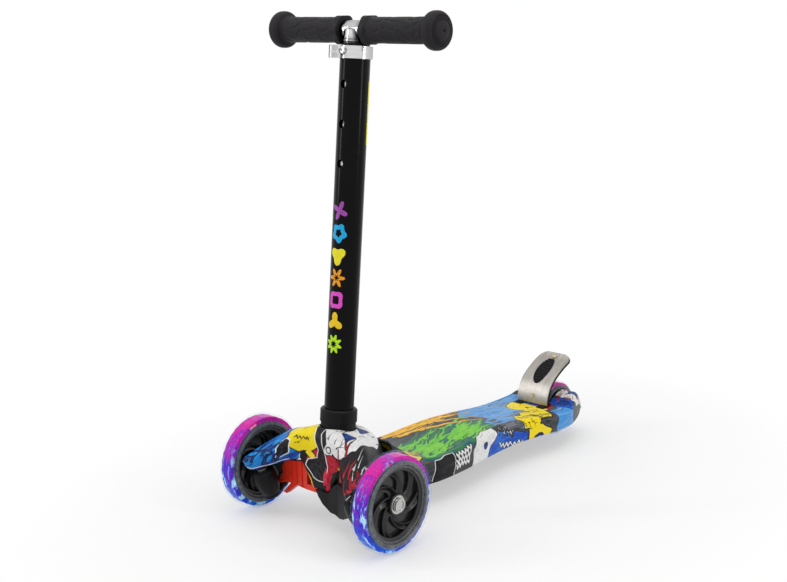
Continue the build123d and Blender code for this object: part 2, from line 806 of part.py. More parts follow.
with BuildPart() as axle_spacers:
    for side in (-1, 1):
        with BuildSketch(side_plane(rear_axle_y, rear_radius, side * (rear_hub_half + seat))):
            Circle(race_seat)
            Circle(axle_radius + running, mode=Mode.SUBTRACT)
        extrude(amount=side * (slot_half - rear_hub_half - 2 * seat))
finish(axle_spacers.part, "axle_spacers")

# ---------------------------------------------------------------- foot brake
brake_front = [(197.4, 57), (198.5, 68), (203.5, 81), (213, 92.5), (226, 101.5), (240, 109), (252, 114.5),
               (257.5, 119)]
pressed_axle = Vector(0, rear_axle_y, rear_radius) - Vector(0, pivot_y, pivot_z)
pressed_axle = pressed_axle.rotate(Axis.X, brake_travel) + Vector(0, pivot_y, pivot_z)
press_way = Vector(0, cos(radians(shoe_angle)), sin(radians(shoe_angle)))
press_at = pressed_axle + (rear_radius + seat) * press_way
face_ends = [(press_at.Y + reach * press_way.Z, press_at.Z - reach * press_way.Y)
             for reach in (shoe_face, -shoe_face)]


def band(points, near, far):
    """A closed strip behind a line of (y, z) points, between two depths."""
    with BuildPart() as strip:
        with BuildSketch(Plane.YZ):
            with BuildLine():
                front = Spline(*inset(points, near, 0.0))
                behind = Spline(*inset(points, far, 0.0))
                Line(front @ 0, behind @ 0)
                Line(front @ 1, behind @ 1)
            make_face()
        extrude(amount=brake_half, both=True)
    return strip.part


def rivet_plane(y, z):
    """The plane on the plate's face under a rivet's head, looking out of the plate."""
    return Plane(origin=(0, y, z), x_dir=(1, 0, 0), z_dir=(0, -0.45, 0.89) if z > 90 else (0, -0.99, 0.1))


oval_plane = Plane(origin=(0, 226, 99), x_dir=(0, 0.80, 0.60), z_dir=(0, -0.60, 0.80))

with BuildPart() as brake_plate:
    add(band(brake_front, 0.0, plate_thickness))
    tip = brake_plate.edges().filter_by(lambda e: e.length < 3 and e.center().Z > 100 and abs(e.center().X) > 20)
    fillet(tip, plate_corner)
    with BuildSketch(oval_plane.offset(-20)):
        Ellipse(oval_long, oval_wide)
    extrude(amount=40, mode=Mode.SUBTRACT)
    for y, z in rivet_places:
        with BuildSketch(rivet_plane(y, z)):
            Circle(rivet_radius + running)
        extrude(amount=8, both=True, mode=Mode.SUBTRACT)
finish(brake_plate.part, "brake_plate")

with BuildPart() as brake_backing:
    add(band([(y, z) for y, z in brake_front], plate_thickness + fit_gap, plate_thickness + backing_thickness))
    tip = brake_backing.edges().filter_by(lambda e: e.length < 6 and e.center().Z > 100 and abs(e.center().X) > 20)
    fillet(tip, plate_corner - 1)
    for side in (-1, 1):
        with BuildSketch(side_plane(pivot_y, pivot_z, side * lug_inner)):
            with BuildLine():
                Polyline((0, 0), (5, 2), (9.5, 14), (5, 16), (3.4, 6.5), close=True)
            make_face()
            Circle(lug_radius)
        extrude(amount=side * (brake_half - 1 - lug_inner))
    with BuildSketch(side_plane(0, 0, -shoe_half)):
        with BuildLine():
            Polyline(*shoe_root, *face_ends, close=True)
        make_face()
    extrude(amount=2 * shoe_half)
    with BuildSketch(side_plane(pivot_y, pivot_z)):
        Circle(pivot_radius + running)
    extrude(amount=40, both=True, mode=Mode.SUBTRACT)
    for y, z in rivet_places:
        with BuildSketch(rivet_plane(y, z)):
            Circle(rivet_radius + running)
        extrude(amount=8, both=True, mode=Mode.SUBTRACT)
finish(brake_backing.part, "brake_backing")

with BuildPart() as pad_ribs:
    add(band(brake_front, -pad_proud, 0.0))
    with BuildSketch(oval_plane.offset(-20)):
        with GridLocations(pad_pitch, 1, 11, 1):
            Rectangle(pad_pitch / 2, 2 * oval_wide)
    extrude(amount=40, mode=Mode.INTERSECT)

with BuildPart() as brake_pad:
    add(band(brake_front, -pad_base, plate_thickness))
    add(pad_ribs.part)
    with BuildSketch(oval_plane.offset(-20)):
        Ellipse(oval_long - fit_gap, oval_wide - fit_gap)
    extrude(amount=40, mode=Mode.INTERSECT)
finish(brake_pad.part, "brake_pad")

with BuildPart() as brake_rivets:
    for y, z in rivet_places:
        with BuildSketch(rivet_plane(y, z).offset(-backing_thickness - 0.5)):
            Circle(rivet_radius)
        extrude(amount=backing_thickness + 1.0)
        with BuildSketch(rivet_plane(y, z).offset(seat)):
            Circle(rivet_radius + 0.7)
        extrude(amount=0.9, taper=20)
finish(brake_rivets.part, "brake_rivets")

with BuildPart() as brake_pin:
    with BuildSketch(side_plane(pivot_y, pivot_z, -pivot_half)):
        Circle(pivot_radius)
    extrude(amount=2 * pivot_half)
finish(brake_pin.part, "brake_pin")

with BuildPart() as brake_spring:
    coils = int((2 * lug_inner - 4) / wire)
    with BuildSketch(Plane.XY.offset(pivot_z)):
        for i in range(coils):
            with Locations(((i - (coils - 1) / 2) * wire * 0.9, pivot_y + pivot_radius + 0.4 + wire / 2)):
                Circle(wire / 2)
    revolve(axis=Axis((0, pivot_y, pivot_z), (1, 0, 0)), revolution_arc=360)
finish(brake_spring.part, "brake_spring")

# ---------------------------------------------------------------- column
with BuildPart() as outer_tube:
    with BuildSketch(column.offset(tube_bottom + seat)):
        Circle(tube_outer)
        Circle(tube_bore, mode=Mode.SUBTRACT)
    extrude(amount=tube_top - tube_bottom - seat)
    for station in hole_stations:
        with BuildSketch(column_front(station)):
            Circle(hole_radius)
        extrude(amount=40, mode=Mode.SUBTRACT)
    with BuildSketch(column_cross):
        Circle(bolt_radius + running)
    extrude(amount=30, both=True, mode=Mode.SUBTRACT)
finish(outer_tube.part, "outer_tube")

with BuildPart() as foot_collar:
    with BuildSketch(column.offset(sleeve_bottom)):
        Circle(sleeve_radius - 1.2)
    extrude(amount=sleeve_step - sleeve_bottom)
    with BuildSketch(column.offset(sleeve_step)):
        Circle(sleeve_radius)
    extrude(amount=sleeve_top - sleeve_step)
    chamfer(foot_collar.edges().filter_by(GeomType.CIRCLE).sort_by(Axis.Z)[-1], 1.8)
    with BuildSketch(column.offset(sleeve_bottom)):
        Circle(tube_outer + running)
    extrude(amount=60, mode=Mode.SUBTRACT)
finish(foot_collar.part, "foot_collar")

clamp_mid = (clamp_low + tube_top) / 2
ear_out = -sin(radians(clamp_turn)) * column.x_dir - cos(radians(clamp_turn)) * column.y_dir
ear = Plane(origin=column.origin + clamp_mid * column_dir, x_dir=ear_out.cross(column_dir), z_dir=column_dir)
ear_cross = Plane(origin=ear.origin, x_dir=ear.y_dir, z_dir=ear.x_dir)

with BuildPart() as tube_clamp:
    with BuildSketch(column.offset(clamp_low)):
        Circle(clamp_outer)
    extrude(amount=tube_top - clamp_low)
    with BuildSketch(ear.offset(-(tube_top - clamp_low) / 2)):
        with Locations((0, ear_reach / 2)):
            RectangleRounded(ear_wide, ear_reach, 2.5)
    extrude(amount=tube_top - clamp_low)
    with BuildSketch(ear.offset(-20)):
        with Locations((0, ear_reach)):
            Rectangle(slit, 2 * ear_reach)
    extrude(amount=40, mode=Mode.SUBTRACT)
    with BuildSketch(column.offset(clamp_low - 1)):
        Circle(tube_outer + running)
    extrude(amount=40, mode=Mode.SUBTRACT)
    with BuildSketch(column_front(lowest_hole + travel)):
        Circle(hole_radius)
    extrude(amount=40, mode=Mode.SUBTRACT)
    with BuildSketch(ear_cross):
        with Locations(*[(ear_bolt_out, s) for s in (-ear_bolt_pitch / 2, ear_bolt_pitch / 2)]):
            Circle(ear_bolt + running)
    extrude(amount=40, both=True, mode=Mode.SUBTRACT)
finish(tube_clamp.part, "tube_clamp")

with BuildPart() as clamp_bolts:
    for s in (-ear_bolt_pitch / 2, ear_bolt_pitch / 2):
        with BuildSketch(ear_cross.offset(-ear_wide / 2 - seat - 3)):
            with Locations((ear_bolt_out, s)):
                Circle(ear_bolt)
        extrude(amount=ear_wide + 2 * seat + 3)
        with BuildSketch(ear_cross.offset(-ear_wide / 2 - seat - 2)):
            with Locations((ear_bolt_out, s)):
                Circle(ear_bolt_head)
        extrude(amount=2)
        with BuildSketch(ear_cross.offset(ear_wide / 2 + seat)):
            with Locations((ear_bolt_out, s)):
                Circle(ear_bolt_head)
        extrude(amount=ear_bolt_deep)
        with BuildSketch(ear_cross.offset(ear_wide / 2 + seat + 1)):
            with Locations((ear_bolt_out, s)):
                RegularPolygon(ear_bolt, 6)
        extrude(amount=ear_bolt_deep, mode=Mode.SUBTRACT)
finish(clamp_bolts.part, "clamp_bolts")

with BuildPart() as collar_bush:
    with BuildSketch(column.offset(bush_foot)):
        Circle(tube_bore - running)
    extrude(amount=tube_top - bush_foot)
    with BuildSketch(column.offset(tube_top + seat)):
        Circle(bush_flange_radius)
    extrude(amount=bush_flange)
    with BuildSketch(column.offset(tube_top - 1)):
        Circle(tube_bore - running)
    extrude(amount=1 + 2 * seat)
    with BuildSketch(column.offset(bush_foot - 1)):
        Circle(stem_radius + running)
    extrude(amount=60, mode=Mode.SUBTRACT)
    with BuildSketch(column_front(lowest_hole + travel)):
        Circle(hole_radius)
    extrude(amount=40, mode=Mode.SUBTRACT)
finish(collar_bush.part, "collar_bush")

with BuildPart() as height_strip:
    with BuildSketch(column.offset(strip_low)):
        Circle(tube_outer + running + strip_thick)
        Circle(tube_outer + running, mode=Mode.SUBTRACT)
        with Locations((0, -tube_outer * 0.38)):
            Rectangle(3 * tube_outer, 2 * tube_outer - 2.0, align=(Align.CENTER, Align.MAX), mode=Mode.SUBTRACT)
        with Locations((0, tube_outer * 0.38)):
            Rectangle(3 * tube_outer, tube_outer * 0.76, align=(Align.CENTER, Align.MAX), mode=Mode.SUBTRACT)
    extrude(amount=strip_long)
finish(height_strip.part, "height_strip")

# ---------------------------------------------------------------- T-bar
bar_centre = column.origin + stem_top * column_dir

with BuildPart() as t_bar:
    with BuildSketch(column.offset(stem_bottom)):
        Circle(stem_radius)
    extrude(amount=stem_top - stem_bottom)
    with BuildSketch(column.offset(stem_top - bar_radius - weld)):
        Circle(stem_radius + weld_bead)
    extrude(amount=weld)
    with BuildSketch(Plane(origin=bar_centre, x_dir=(0, 1, 0), z_dir=(1, 0, 0))):
        Circle(bar_radius)
    extrude(amount=bar_half, both=True)
    with BuildSketch(column.offset(stem_bottom - 1)):
        Circle(stem_radius - stem_wall)
    extrude(amount=stem_top - bar_radius - stem_bottom, mode=Mode.SUBTRACT)
    with BuildSketch(Plane(origin=bar_centre, x_dir=(0, 1, 0), z_dir=(1, 0, 0))):
        Circle(bar_radius - bar_wall)
    extrude(amount=bar_half + 1, both=True, mode=Mode.SUBTRACT)
    with BuildSketch(column_front(lowest_hole)):
        Circle(button_radius + running)
    extrude(amount=40, mode=Mode.SUBTRACT)
finish(t_bar.part, "t_bar")

with BuildPart() as stem_bush:
    with BuildSketch(column.offset(stem_bottom - 3)):
        Circle(tube_bore - running)
    extrude(amount=stem_bush_long)
    with BuildSketch(column.offset(stem_bottom - seat)):
        Circle(stem_radius + running)
    extrude(amount=40, mode=Mode.SUBTRACT)
    with BuildSketch(column.offset(stem_bottom - 10)):
        Circle(stem_radius - 4)
    extrude(amount=40, mode=Mode.SUBTRACT)
finish(stem_bush.part, "stem_bush")

for side, hand in ((1, "left"), (-1, "right")):
    with BuildPart() as grip:
        across = Plane(origin=bar_centre, x_dir=(0, 1, 0), z_dir=(side, 0, 0))
        with BuildSketch(across.offset(grip_inner)):
            Circle(grip_flange)
        extrude(amount=flange_long)
        with BuildSketch(across.offset(grip_inner)):
            Circle(grip_radius)
        extrude(amount=grip_outer - grip_inner - 4)
        for i in range(grip_ribs):
            with BuildSketch(across.offset(rib_start + i * rib_pitch)):
                Circle(grip_radius + 1.2)
            extrude(amount=rib_pitch * 0.55)
        with BuildSketch(across.offset(grip_outer - bulb_long)):
            Circle(grip_bulb)
        extrude(amount=bulb_long)
        ends = grip.edges().filter_by(GeomType.CIRCLE).filter_by(lambda e: e.radius > grip_bulb - 0.1)
        fillet(ends, bulb_round)
        for ring_radius in (6.0, 11.0):
            with BuildSketch(across.offset(grip_outer)):
                Circle(ring_radius + 0.8)
                Circle(ring_radius - 0.8, mode=Mode.SUBTRACT)
            extrude(amount=-1.0, mode=Mode.SUBTRACT)
        with BuildSketch(across.offset(grip_inner - 1)):
            Circle(bar_radius + running)
        extrude(amount=bar_half + seat - grip_inner + 1, mode=Mode.SUBTRACT)
    finish(grip.part, f"grip_{hand}")

with BuildPart() as snap_button:
    with BuildSketch(column_front(lowest_hole).offset(button_root)):
        Circle(button_radius)
    extrude(amount=button_face - button_root)
    fillet(snap_button.edges().filter_by(GeomType.CIRCLE).sort_by(Axis.Y)[0], 1.2)
finish(snap_button.part, "snap_button")

with BuildPart() as button_spring:
    with BuildSketch(Plane(origin=column.origin + lowest_hole * column_dir, x_dir=column.y_dir, z_dir=(1, 0, 0))):
        with BuildLine():
            Polyline((seat - button_root, 6), (seat - button_root, -21), (spring_back, -21), (spring_back, 8),
                     (spring_back - leaf, 8), (spring_back - leaf, -21 + leaf),
                     (seat - button_root + leaf, -21 + leaf), (seat - button_root + leaf, 6), close=True)
        make_face()
    extrude(amount=4, both=True)
finish(button_spring.part, "button_spring")
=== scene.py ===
"""Looks of the lean-to-steer kick scooter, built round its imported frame.

The frame gives every place. -Y is the way the scooter rolls, +X is the rider's left, +Z is up, and
the origin lies on the ground. Shape tables are in millimetres and become metres in Sheet.build.
"""
import json
import logging
import math
from dataclasses import dataclass, field
from enum import Enum
from typing import Sequence

import bmesh
import bpy
import numpy as np
from mathutils import Matrix, Vector


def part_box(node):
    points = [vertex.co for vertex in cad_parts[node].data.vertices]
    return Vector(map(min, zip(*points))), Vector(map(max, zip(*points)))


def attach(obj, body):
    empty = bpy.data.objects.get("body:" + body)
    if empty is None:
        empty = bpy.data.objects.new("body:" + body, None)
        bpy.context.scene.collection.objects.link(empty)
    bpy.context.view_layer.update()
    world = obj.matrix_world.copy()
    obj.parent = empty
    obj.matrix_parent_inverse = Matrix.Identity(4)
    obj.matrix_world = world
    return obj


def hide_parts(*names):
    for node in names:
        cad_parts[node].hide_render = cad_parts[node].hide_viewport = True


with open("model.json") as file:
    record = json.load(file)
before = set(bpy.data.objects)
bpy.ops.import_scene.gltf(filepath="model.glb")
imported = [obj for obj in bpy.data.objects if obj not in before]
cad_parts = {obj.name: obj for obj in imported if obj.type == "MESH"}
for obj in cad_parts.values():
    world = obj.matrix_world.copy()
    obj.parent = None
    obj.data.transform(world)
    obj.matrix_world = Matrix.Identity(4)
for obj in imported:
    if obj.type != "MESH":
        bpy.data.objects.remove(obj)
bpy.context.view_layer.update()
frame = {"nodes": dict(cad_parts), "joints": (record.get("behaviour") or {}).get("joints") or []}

MM = 0.001
TUBE_HALF = 180.85            # the outer tube's middle above the column's foot, in millimetres
MERGE_GAP = 0.004             # points nearer than this become one, in millimetres
SLIVER = 0.002                # edges shorter than this are taken out, in millimetres
X_AXIS = (1.0, 0.0, 0.0)      # towards the rider's left
log = logging.getLogger("kick_scooter")

Colour = tuple[float, float, float]
Array = np.ndarray
Socket = bpy.types.NodeSocket
Table = tuple[tuple[float, float], ...]

INK = (0.005, 0.005, 0.007)
WHITE = (0.86, 0.86, 0.84)
YELLOW = (0.95, 0.74, 0.004)
ORANGE = (0.90, 0.42, 0.03)
ROYAL = (0.01, 0.07, 0.52)
NAVY = (0.01, 0.03, 0.17)
CRIMSON = (0.52, 0.01, 0.03)
LEAF = (0.13, 0.56, 0.04)
PINE = (0.04, 0.20, 0.07)
SLATE = (0.055, 0.058, 0.064)


# ---------------------------------------------------------------- curves and meshes
def natural_cubic(knots: Array, values: Array, at: Array) -> Array:
    """Evaluates the natural cubic spline through given values.

    Formula: the second derivatives M solve the tridiagonal system of a curve that is straight at
    both ends; between two knots the value is the cubic with those second derivatives.

    Args:
        knots: rising parameters, shape (n,).
        values: values at the knots, shape (n, ...).
        at: parameters to evaluate, shape (m,).

    Returns:
        The values, shape (m, ...).
    """
    count = len(knots)
    step = np.diff(knots)
    flat = np.asarray(values, float).reshape(count, -1)
    slope = np.diff(flat, axis=0) / step[:, None]
    system = np.eye(count)
    right = np.zeros_like(flat)
    inner = np.arange(1, count - 1)
    system[inner, inner - 1] = step[:-1]
    system[inner, inner] = 2 * (step[:-1] + step[1:])
    system[inner, inner + 1] = step[1:]
    right[inner] = 6 * np.diff(slope, axis=0)
    second = np.linalg.solve(system, right)
    cell = np.clip(np.searchsorted(knots, at, side="right") - 1, 0, count - 2)
    wide = step[cell][:, None]
    a = (knots[cell + 1] - at)[:, None]
    b = (at - knots[cell])[:, None]
    bend = (second[cell] * a**3 + second[cell + 1] * b**3) / (6 * wide)
    line = (flat[cell] / wide - second[cell] * wide / 6) * a
    line = line + (flat[cell + 1] / wide - second[cell + 1] * wide / 6) * b
    return (bend + line).reshape((len(at),) + np.shape(values)[1:])


def arc(centre: Sequence[float], radius: float, start: float, end: float, count: int) -> Array:
    """Points of a circle's arc between two angles in degrees, shape (count, 2)."""
    turn = np.radians(np.linspace(start, end, count))
    return np.stack([centre[0] + radius * np.cos(turn), centre[1] + radius * np.sin(turn)], 1)


def smoothstep(low: float, high: float, value: Array) -> Array:
    """0 below low, 1 above high, and the cubic 3t^2 - 2t^3 between."""
    t = np.clip((value - low) / (high - low), 0, 1)
    return t * t * (3 - 2 * t)


def both_sides(half: Array, sign: float = 1.0) -> Array:
    """A half grid's columns mirrored about its first one; a sign of -1 turns the mirrored values over."""
    return np.concatenate([sign * half[:, :0:-1], half], 1)


@dataclass
class Sheet:
    """A mesh put together from grids of points, in millimetres, with number attributes per point."""

    points: list[Array] = field(default_factory=list)
    quads: list[Array] = field(default_factory=list)
    marks: dict[str, list[Array]] = field(default_factory=dict)
    total: int = 0

    def grid(self, pts: Array, wrap: bool = False, keep: Array | None = None, flip: bool = False,
             marks: dict[str, Array] | None = None) -> None:
        """Adds one grid of quads.

        Args:
            pts: points of shape (rows, columns, 3).
            wrap: joins the last column to the first.
            keep: true for each quad that is kept, shape (rows - 1, columns - 1 or columns).
            flip: turns the faces round.
            marks: number attributes, each of shape (rows, columns).
        """
        rows, columns = pts.shape[:2]
        number = np.arange(rows * columns).reshape(rows, columns) + self.total
        ring = np.concatenate([number, number[:, :1]], 1) if wrap else number
        corners = [ring[:-1, :-1], ring[1:, :-1], ring[1:, 1:], ring[:-1, 1:]]
        faces = np.stack(corners[::-1] if flip else corners, -1)
        faces = faces.reshape(-1, 4) if keep is None else faces[keep]
        self.points.append(pts.reshape(-1, 3))
        self.quads.append(faces)
        for name, value in (marks or {}).items():
            self.marks.setdefault(name, []).append(value.reshape(-1))
        self.total += rows * columns

    @classmethod
    def closed(cls, pts: Array) -> "Sheet":
        """A sheet of one grid whose last column joins its first.

        Args:
            pts: points of shape (rows, columns, 3).

        Returns:
            The sheet.
        """
        sheet = cls()
        sheet.grid(pts, wrap=True)
        return sheet

    def build(self, name: str, smooth_angle: float = 35.0, outward: bool = False) -> bpy.types.Object:
        """Makes the Blender object, with doubled points merged and sharp edges kept sharp.

        Args:
            name: the piece's name.
            smooth_angle: edges that turn by more degrees than this stay sharp.
            outward: works the faces' directions out again after merging.

        Returns:
            The object, at the origin, without a material.
        """
        mesh = bpy.data.meshes.new(name)
        co = np.concatenate(self.points) * MM
        faces = np.concatenate(self.quads).astype(np.int32)
        mesh.vertices.add(len(co))
        mesh.vertices.foreach_set("co", co.astype(np.float32).ravel())
        mesh.loops.add(faces.size)
        mesh.loops.foreach_set("vertex_index", faces.ravel())
        mesh.polygons.add(len(faces))
        mesh.polygons.foreach_set("loop_start", np.arange(0, faces.size, 4, dtype=np.int32))
        mesh.update(calc_edges=True)
        for key, parts in self.marks.items():
            layer = mesh.attributes.new(key, "FLOAT", "POINT")
            layer.data.foreach_set("value", np.concatenate(parts).astype(np.float32))
        work = bmesh.new()
        work.from_mesh(mesh)
        bmesh.ops.remove_doubles(work, verts=work.verts, dist=MERGE_GAP * MM)
        bmesh.ops.dissolve_degenerate(work, edges=work.edges, dist=SLIVER * MM)
        loose = [v for v in work.verts if not v.link_faces]
        bmesh.ops.delete(work, geom=loose, context="VERTS")
        if outward:
            bmesh.ops.recalc_face_normals(work, faces=work.faces)
        work.to_mesh(mesh)
        work.free()
        mesh.polygons.foreach_set("use_smooth", np.ones(len(mesh.polygons), bool))
        mesh.set_sharp_from_angle(angle=math.radians(smooth_angle))
        piece = bpy.data.objects.new(name, mesh)
        bpy.context.scene.collection.objects.link(piece)
        return piece


def lathe(profile: Array, segments: int, centre: Sequence[float], side: float = 1.0,
          axis: Sequence[float] = X_AXIS, across: Sequence[float] = (0.0, 1.0, 0.0)) -> Array:
    """Turns a profile about an axis.

    Formula: a profile point (a, r) becomes centre + side a axis + r (across cos t + third sin t).

    Args:
        profile: rows of (place along the axis, radius).
        segments: how many steps of t go round.
        centre: the axis point that a is measured from.
        side: -1 turns the profile the other way along the axis.
        axis: the unit direction of the axis.
        across: a unit direction square to the axis, where t is 0.

    Returns:
        A grid of shape (len(profile), segments, 3), to be wrapped.
    """
    turn = np.linspace(0, 2 * math.pi, segments, endpoint=False)[:, None]
    a, r = profile[:, None, :1], profile[:, None, 1:2]
    out = np.cos(turn) * np.asarray(across) + np.sin(turn) * np.cross(axis, across)
    return np.asarray(centre) + side * a * np.asarray(axis) + r * out


def place(piece: bpy.types.Object, body: str, nodes: Sequence[str],
          material: bpy.types.Material) -> bpy.types.Object:
    """Dresses a new piece, lets it ride on a body and stand for CAD nodes.

    Args:
        piece: the object, with its modifiers already on it.
        body: the body that carries it.
        nodes: the CAD nodes that it stands for; none where it is seen beside them.
        material: its finish.

    Returns:
        The same piece.
    """
    piece.data.materials.clear()
    piece.data.materials.append(material)
    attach(piece, body)
    if nodes:
        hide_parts(*nodes)
    log.info("%s: %d faces, rides on %s, stands for %s", piece.name, len(piece.data.polygons), body,
             ", ".join(nodes) or "itself")
    return piece


def dress(node: str, material: bpy.types.Material) -> None:
    """Gives a carried-over CAD node its finish.

    Args:
        node: the node's name.
        material: its finish.
    """
    mesh = frame["nodes"][node].data
    mesh.materials.clear()
    mesh.materials.append(material)
    log.info("%s: CAD node, finish %s", node, material.name)


def thicken(piece: bpy.types.Object, wall: float) -> None:
    """Gives an open sheet a wall, inwards from its faces.

    Args:
        piece: the open sheet.
        wall: the wall's thickness, in millimetres.
    """
    solid = piece.modifiers.new("wall", "SOLIDIFY")
    solid.thickness = wall * MM
    solid.offset = -1
    solid.use_even_offset = False
    solid.use_quality_normals = True


def joint(name: str) -> dict:
    """The frame's joint of a name."""
    return next(j for j in frame["joints"] if j["name"] == name)


# ---------------------------------------------------------------- shader building
class Shader:
    """A material's node tree, with one short method for each node that the finishes use."""

    def __init__(self, name: str) -> None:
        """Starts a material with a Principled shader and object coordinates.

        Args:
            name: the material's name.
        """
        self.material = bpy.data.materials.new(name)
        self.material.use_nodes = True
        self.tree = self.material.node_tree
        self.surface = self.tree.nodes["Principled BSDF"]
        self.coords = self.tree.nodes.new("ShaderNodeTexCoord").outputs["Object"]

    def node(self, kind: str, inputs: dict[str | int, object] | None = None,
             **settings: object) -> bpy.types.Node:
        """Adds a node.

        Args:
            kind: the node's type.
            inputs: constants or sockets for its inputs, by name or number.
            settings: its own properties.

        Returns:
            The node.
        """
        made = self.tree.nodes.new(kind)
        for key, value in settings.items():
            setattr(made, key, value)
        for key, value in (inputs or {}).items():
            self.feed(made.inputs[key], value)
        return made

    def feed(self, socket: Socket, value: object) -> None:
        """Links a socket to an output, or sets it to a constant.

        Args:
            socket: the socket to feed.
            value: an output, a number, or a colour of three parts.
        """
        if isinstance(value, Socket):
            self.tree.links.new(value, socket)
        elif isinstance(value, tuple) and socket.type == "RGBA" and len(value) == 3:
            socket.default_value = (*value, 1)
        else:
            socket.default_value = value

    def set(self, **sockets: object) -> None:
        """Fills or links sockets of the Principled shader; underscores stand for spaces."""
        for key, value in sockets.items():
            self.feed(self.surface.inputs[key.replace("_", " ")], value)

    def math(self, operation: str, *values: object) -> Socket:
        """One Math node."""
        return self.node("ShaderNodeMath", dict(enumerate(values)), operation=operation).outputs[0]

    def length(self, a: object, b: object) -> Socket:
        """The root of the sum of two squares."""
        return self.math("SQRT", self.math("ADD", self.math("MULTIPLY", a, a), self.math("MULTIPLY", b, b)))

    def mapping(self, scale: Sequence[float] = (1, 1, 1), turn: Sequence[float] = (0, 0, 0),
                move: Sequence[float] = (0, 0, 0)) -> Socket:
        """Object coordinates scaled, then turned, then moved.

        Args:
            scale: the factor along each axis.
            turn: the turn about each axis, in degrees.
            move: the shift along each axis.

        Returns:
            The new coordinates.
        """
        rotation = tuple(math.radians(v) for v in turn)
        made = self.node("ShaderNodeMapping", {"Vector": self.coords, "Location": tuple(move),
                                               "Rotation": rotation, "Scale": tuple(scale)})
        return made.outputs[0]

    def noise(self, scale: float, detail: float = 3, rough: float = 0.5, twist: float = 0,
              coords: object = None) -> Socket:
        """Noise between 0 and 1.

        Args:
            scale: features per metre.
            detail: how many finer layers lie on it.
            rough: how strong the finer layers are.
            twist: how far the noise is drawn out of shape.
            coords: other coordinates than the object's own.

        Returns:
            The noise's value.
        """
        made = self.node("ShaderNodeTexNoise", {"Vector": coords or self.coords, "Scale": scale,
                                                "Detail": detail, "Roughness": rough, "Distortion": twist})
        return made.outputs[0]

    def ramp(self, value: object, low: float, high: float, at_low: float = 0, at_high: float = 1) -> Socket:
        """A clamped straight ramp: at_low where the value is low, at_high where it is high."""
        made = self.node("ShaderNodeMapRange", {"Value": value, "From Min": low, "From Max": high,
                                                "To Min": at_low, "To Max": at_high})
        return made.outputs[0]

    def spread(self, noise: object, at_low: float = 0, at_high: float = 1) -> Socket:
        """The middle part of a noise, 0.3 to 0.7, spread evenly from at_low to at_high."""
        return self.ramp(noise, 0.3, 0.7, at_low, at_high)

    def blend(self, share: object, a: object, b: object) -> Socket:
        """Mixes two colours.

        Args:
            share: 0 gives a and 1 gives b.
            a: one colour.
            b: the other colour.

        Returns:
            The mixed colour.
        """
        made = self.tree.nodes.new("ShaderNodeMix")
        made.data_type = "RGBA"
        self.feed(made.inputs[0], share)
        self.feed(made.inputs[6], a)
        self.feed(made.inputs[7], b)
        return made.outputs[2]

    def bands(self, value: object, stops: Sequence[tuple[float, Colour]]) -> Socket:
        """A colour ramp.

        Args:
            value: where on the ramp to read.
            stops: pairs of place and colour.

        Returns:
            The colour.
        """
        made = self.node("ShaderNodeValToRGB", {"Fac": value})
        ramp = made.color_ramp
        while len(ramp.elements) < len(stops):
            ramp.elements.new(1.0)
        for element, (spot, colour) in zip(ramp.elements, stops):
            element.position = spot
            element.color = (*colour, 1)
        return made.outputs[0]

    def mark(self, name: str) -> Socket:
        """A number attribute of the mesh."""
        return self.node("ShaderNodeAttribute", attribute_name=name).outputs["Fac"]

    def split(self, vector: object = None) -> list[Socket]:
        """The three parts of a vector."""
        made = self.node("ShaderNodeSeparateXYZ", {0: vector or self.coords})
        return list(made.outputs)

    def about_axle(self, centre: Sequence[float]) -> tuple[Socket, Socket, Socket]:
        """Place along a wheel's axle, height over it and distance from it, for a centre in metres."""
        x, y, z = self.split(self.mapping(move=tuple(-v for v in centre)))
        return x, z, self.length(y, z)

    def bump(self, height: object, depth: float) -> Socket:
        """A bump normal; depth is how far, in metres, the full height stands up."""
        return self.node("ShaderNodeBump", {"Height": height, "Distance": depth, "Strength": 1.0}).outputs[0]


def lift(colour: Colour, by: float) -> Colour:
    """A colour multiplied by a number and kept within 0 and 1."""
    return tuple(min(1.0, part * by) for part in colour)


# ---------------------------------------------------------------- finishes
@dataclass(frozen=True)
class Finish:
    """What every finish has: a name, and nodes that each kind lays in its own way."""

    name: str

    def make(self) -> bpy.types.Material:
        """Builds the material.

        Returns:
            The material, with its nodes laid.
        """
        s = Shader(self.name)
        self.lay(s)
        return s.material

    def lay(self, s: Shader) -> None:
        """Lays the nodes in the material's shader; each kind of finish has its own."""
        raise NotImplementedError


@dataclass(frozen=True)
class Moulded(Finish):
    """A moulded plastic or rubber: one colour with cloudy variation, spark-eroded grain and dust.

    The grain is in features per metre and stands up by depth, in metres.
    """

    colour: Colour
    rough: float = 0.45
    grain: float = 2600.0
    depth: float = 0.00006
    specular: float = 0.12

    def lay(self, s: Shader) -> None:
        """Lays the nodes.

        Args:
            s: the material's shader.
        """
        cloud = s.noise(28, 4, 0.6)
        grain = s.noise(self.grain, 2, 0.6)
        dust = s.ramp(s.noise(140, 5, 0.7), 0.52, 0.78)
        tint = s.blend(s.spread(cloud), lift(self.colour, 0.82), lift(self.colour, 1.2))
        s.set(Base_Color=s.blend(s.math("MULTIPLY", dust, 0.12), tint, lift(self.colour, 2.2)))
        shine = s.math("ADD", s.spread(cloud, self.rough - 0.06, self.rough + 0.06),
                       s.math("MULTIPLY", dust, 0.1))
        s.set(Roughness=shine, Specular_IOR_Level=self.specular, Normal=s.bump(grain, self.depth))


